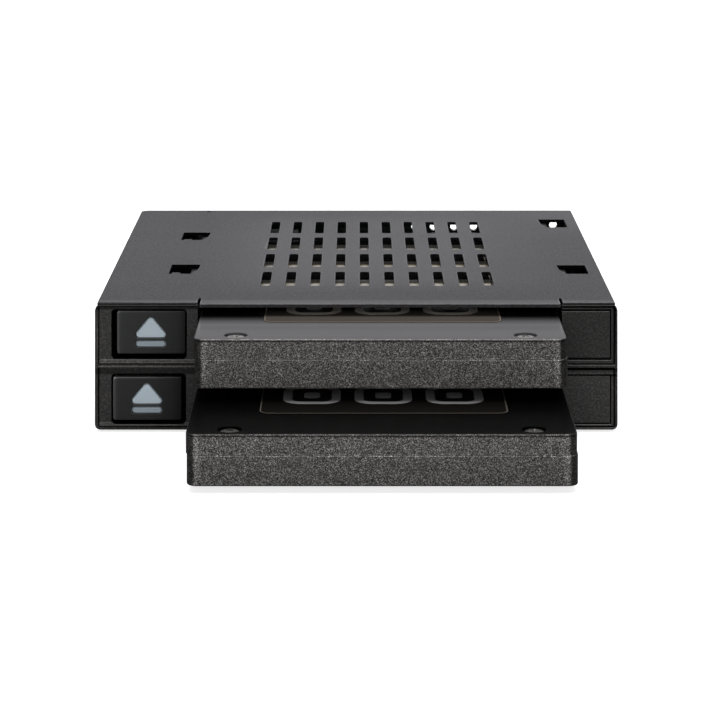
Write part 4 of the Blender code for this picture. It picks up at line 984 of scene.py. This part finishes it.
world = bpy.data.worlds.new("studio")
bpy.context.scene.world = world
world.use_nodes = True
t = world.node_tree
t.nodes.clear()
out = t.nodes.new("ShaderNodeOutputWorld")
mixer = t.nodes.new("ShaderNodeMixShader")
seen = t.nodes.new("ShaderNodeBackground")
lit = t.nodes.new("ShaderNodeBackground")
path = t.nodes.new("ShaderNodeLightPath")
coord = t.nodes.new("ShaderNodeTexCoord")
sep = t.nodes.new("ShaderNodeSeparateXYZ")
ramp = t.nodes.new("ShaderNodeValToRGB")
t.links.new(coord.outputs["Generated"], sep.inputs[0])
t.links.new(sep.outputs["Z"], ramp.inputs[0])
e = ramp.color_ramp.elements
e[0].position, e[0].color = 0.0, (0.30, 0.30, 0.30, 1)
e[1].position, e[1].color = 0.9, (1.0, 1.0, 1.0, 1)
t.links.new(ramp.outputs[0], lit.inputs["Color"])
lit.inputs["Strength"].default_value = 0.32
seen.inputs["Color"].default_value = (1, 1, 1, 1)
seen.inputs["Strength"].default_value = 1.0
t.links.new(path.outputs["Is Camera Ray"], mixer.inputs[0])
t.links.new(lit.outputs[0], mixer.inputs[1])
t.links.new(seen.outputs[0], mixer.inputs[2])
t.links.new(mixer.outputs[0], out.inputs["Surface"])


def softbox(name, at, target, size, radiance, colour=(1, 1, 1)):
    """A rectangular light of a given brightness, unseen by the camera."""
    data = bpy.data.lights.new(name, "AREA")
    data.shape = "RECTANGLE"
    data.size, data.size_y = size
    data.energy = radiance * math.pi * size[0] * size[1]
    data.color = colour
    ob = bpy.data.objects.new(name, data)
    ob.location = at
    ob.rotation_euler = (Vector(target) - Vector(at)).to_track_quat("-Z", "Y").to_euler()
    ob.visible_camera = False
    bpy.context.scene.collection.objects.link(ob)
    return ob


softbox("overhead", (0.0, -0.02, 1.1), (0, 0, 0), (0.9, 0.8), 3.2)
softbox("behind", (0.12, 1.3, 0.52), (0, 0.03, 0.02), (1.3, 0.7), 0.85, (0.97, 0.97, 1.0))
softbox("front", (-0.05, -1.3, 0.30), (0, -0.05, 0.01), (0.7, 0.6), 2.6)
# the lit table in front of the object, whose reflection its upright faces show
softbox("table_glow", (0.0, -0.36, -0.0001), (0.0, -0.36, 1.0), (0.36, 0.46), 0.34)
for side in (-1, 1):
    softbox(f"table_glow_{'left' if side < 0 else 'right'}", (side * 0.21, -0.30, -0.0001), (side * 0.21, -0.30, 1.0), (0.06, 0.30), 0.9, (1.0, 0.985, 0.96))

# ================================================================ camera
CAM = (0.00023, -0.505 + Y0, 0.1288)
cam_data = bpy.data.cameras.new("camera")
cam = bpy.data.objects.new("camera", cam_data)
bpy.context.scene.collection.objects.link(cam)
cam.location = CAM
cam.rotation_euler = (math.radians(90), 0, 0)
cam_data.sensor_width = 36.0
cam_data.lens = 132.71
cam_data.clip_start, cam_data.clip_end = 0.01, 200.0
# a level camera with a lowered lens, as a view camera has it, so that verticals stay parallel; the lens is centred again wherever else the camera goes
for channel, amount in (("shift_x", -0.00695), ("shift_y", -0.8287)):
    driver = cam_data.driver_add(channel).driver
    driver.type = "SCRIPTED"
    for axis in "XYZ":
        var = driver.variables.new()
        var.name = axis.lower()
        var.type = "TRANSFORMS"
        var.targets[0].id = cam
        var.targets[0].transform_type = f"LOC_{axis}"
        var.targets[0].transform_space = "WORLD_SPACE"
    driver.expression = f"{amount} if abs(x - {CAM[0]}) + abs(y + {-CAM[1]}) + abs(z - {CAM[2]}) < 0.0005 else 0.0"
bpy.context.scene.camera = cam
bpy.context.scene.view_settings.view_transform = "Standard"
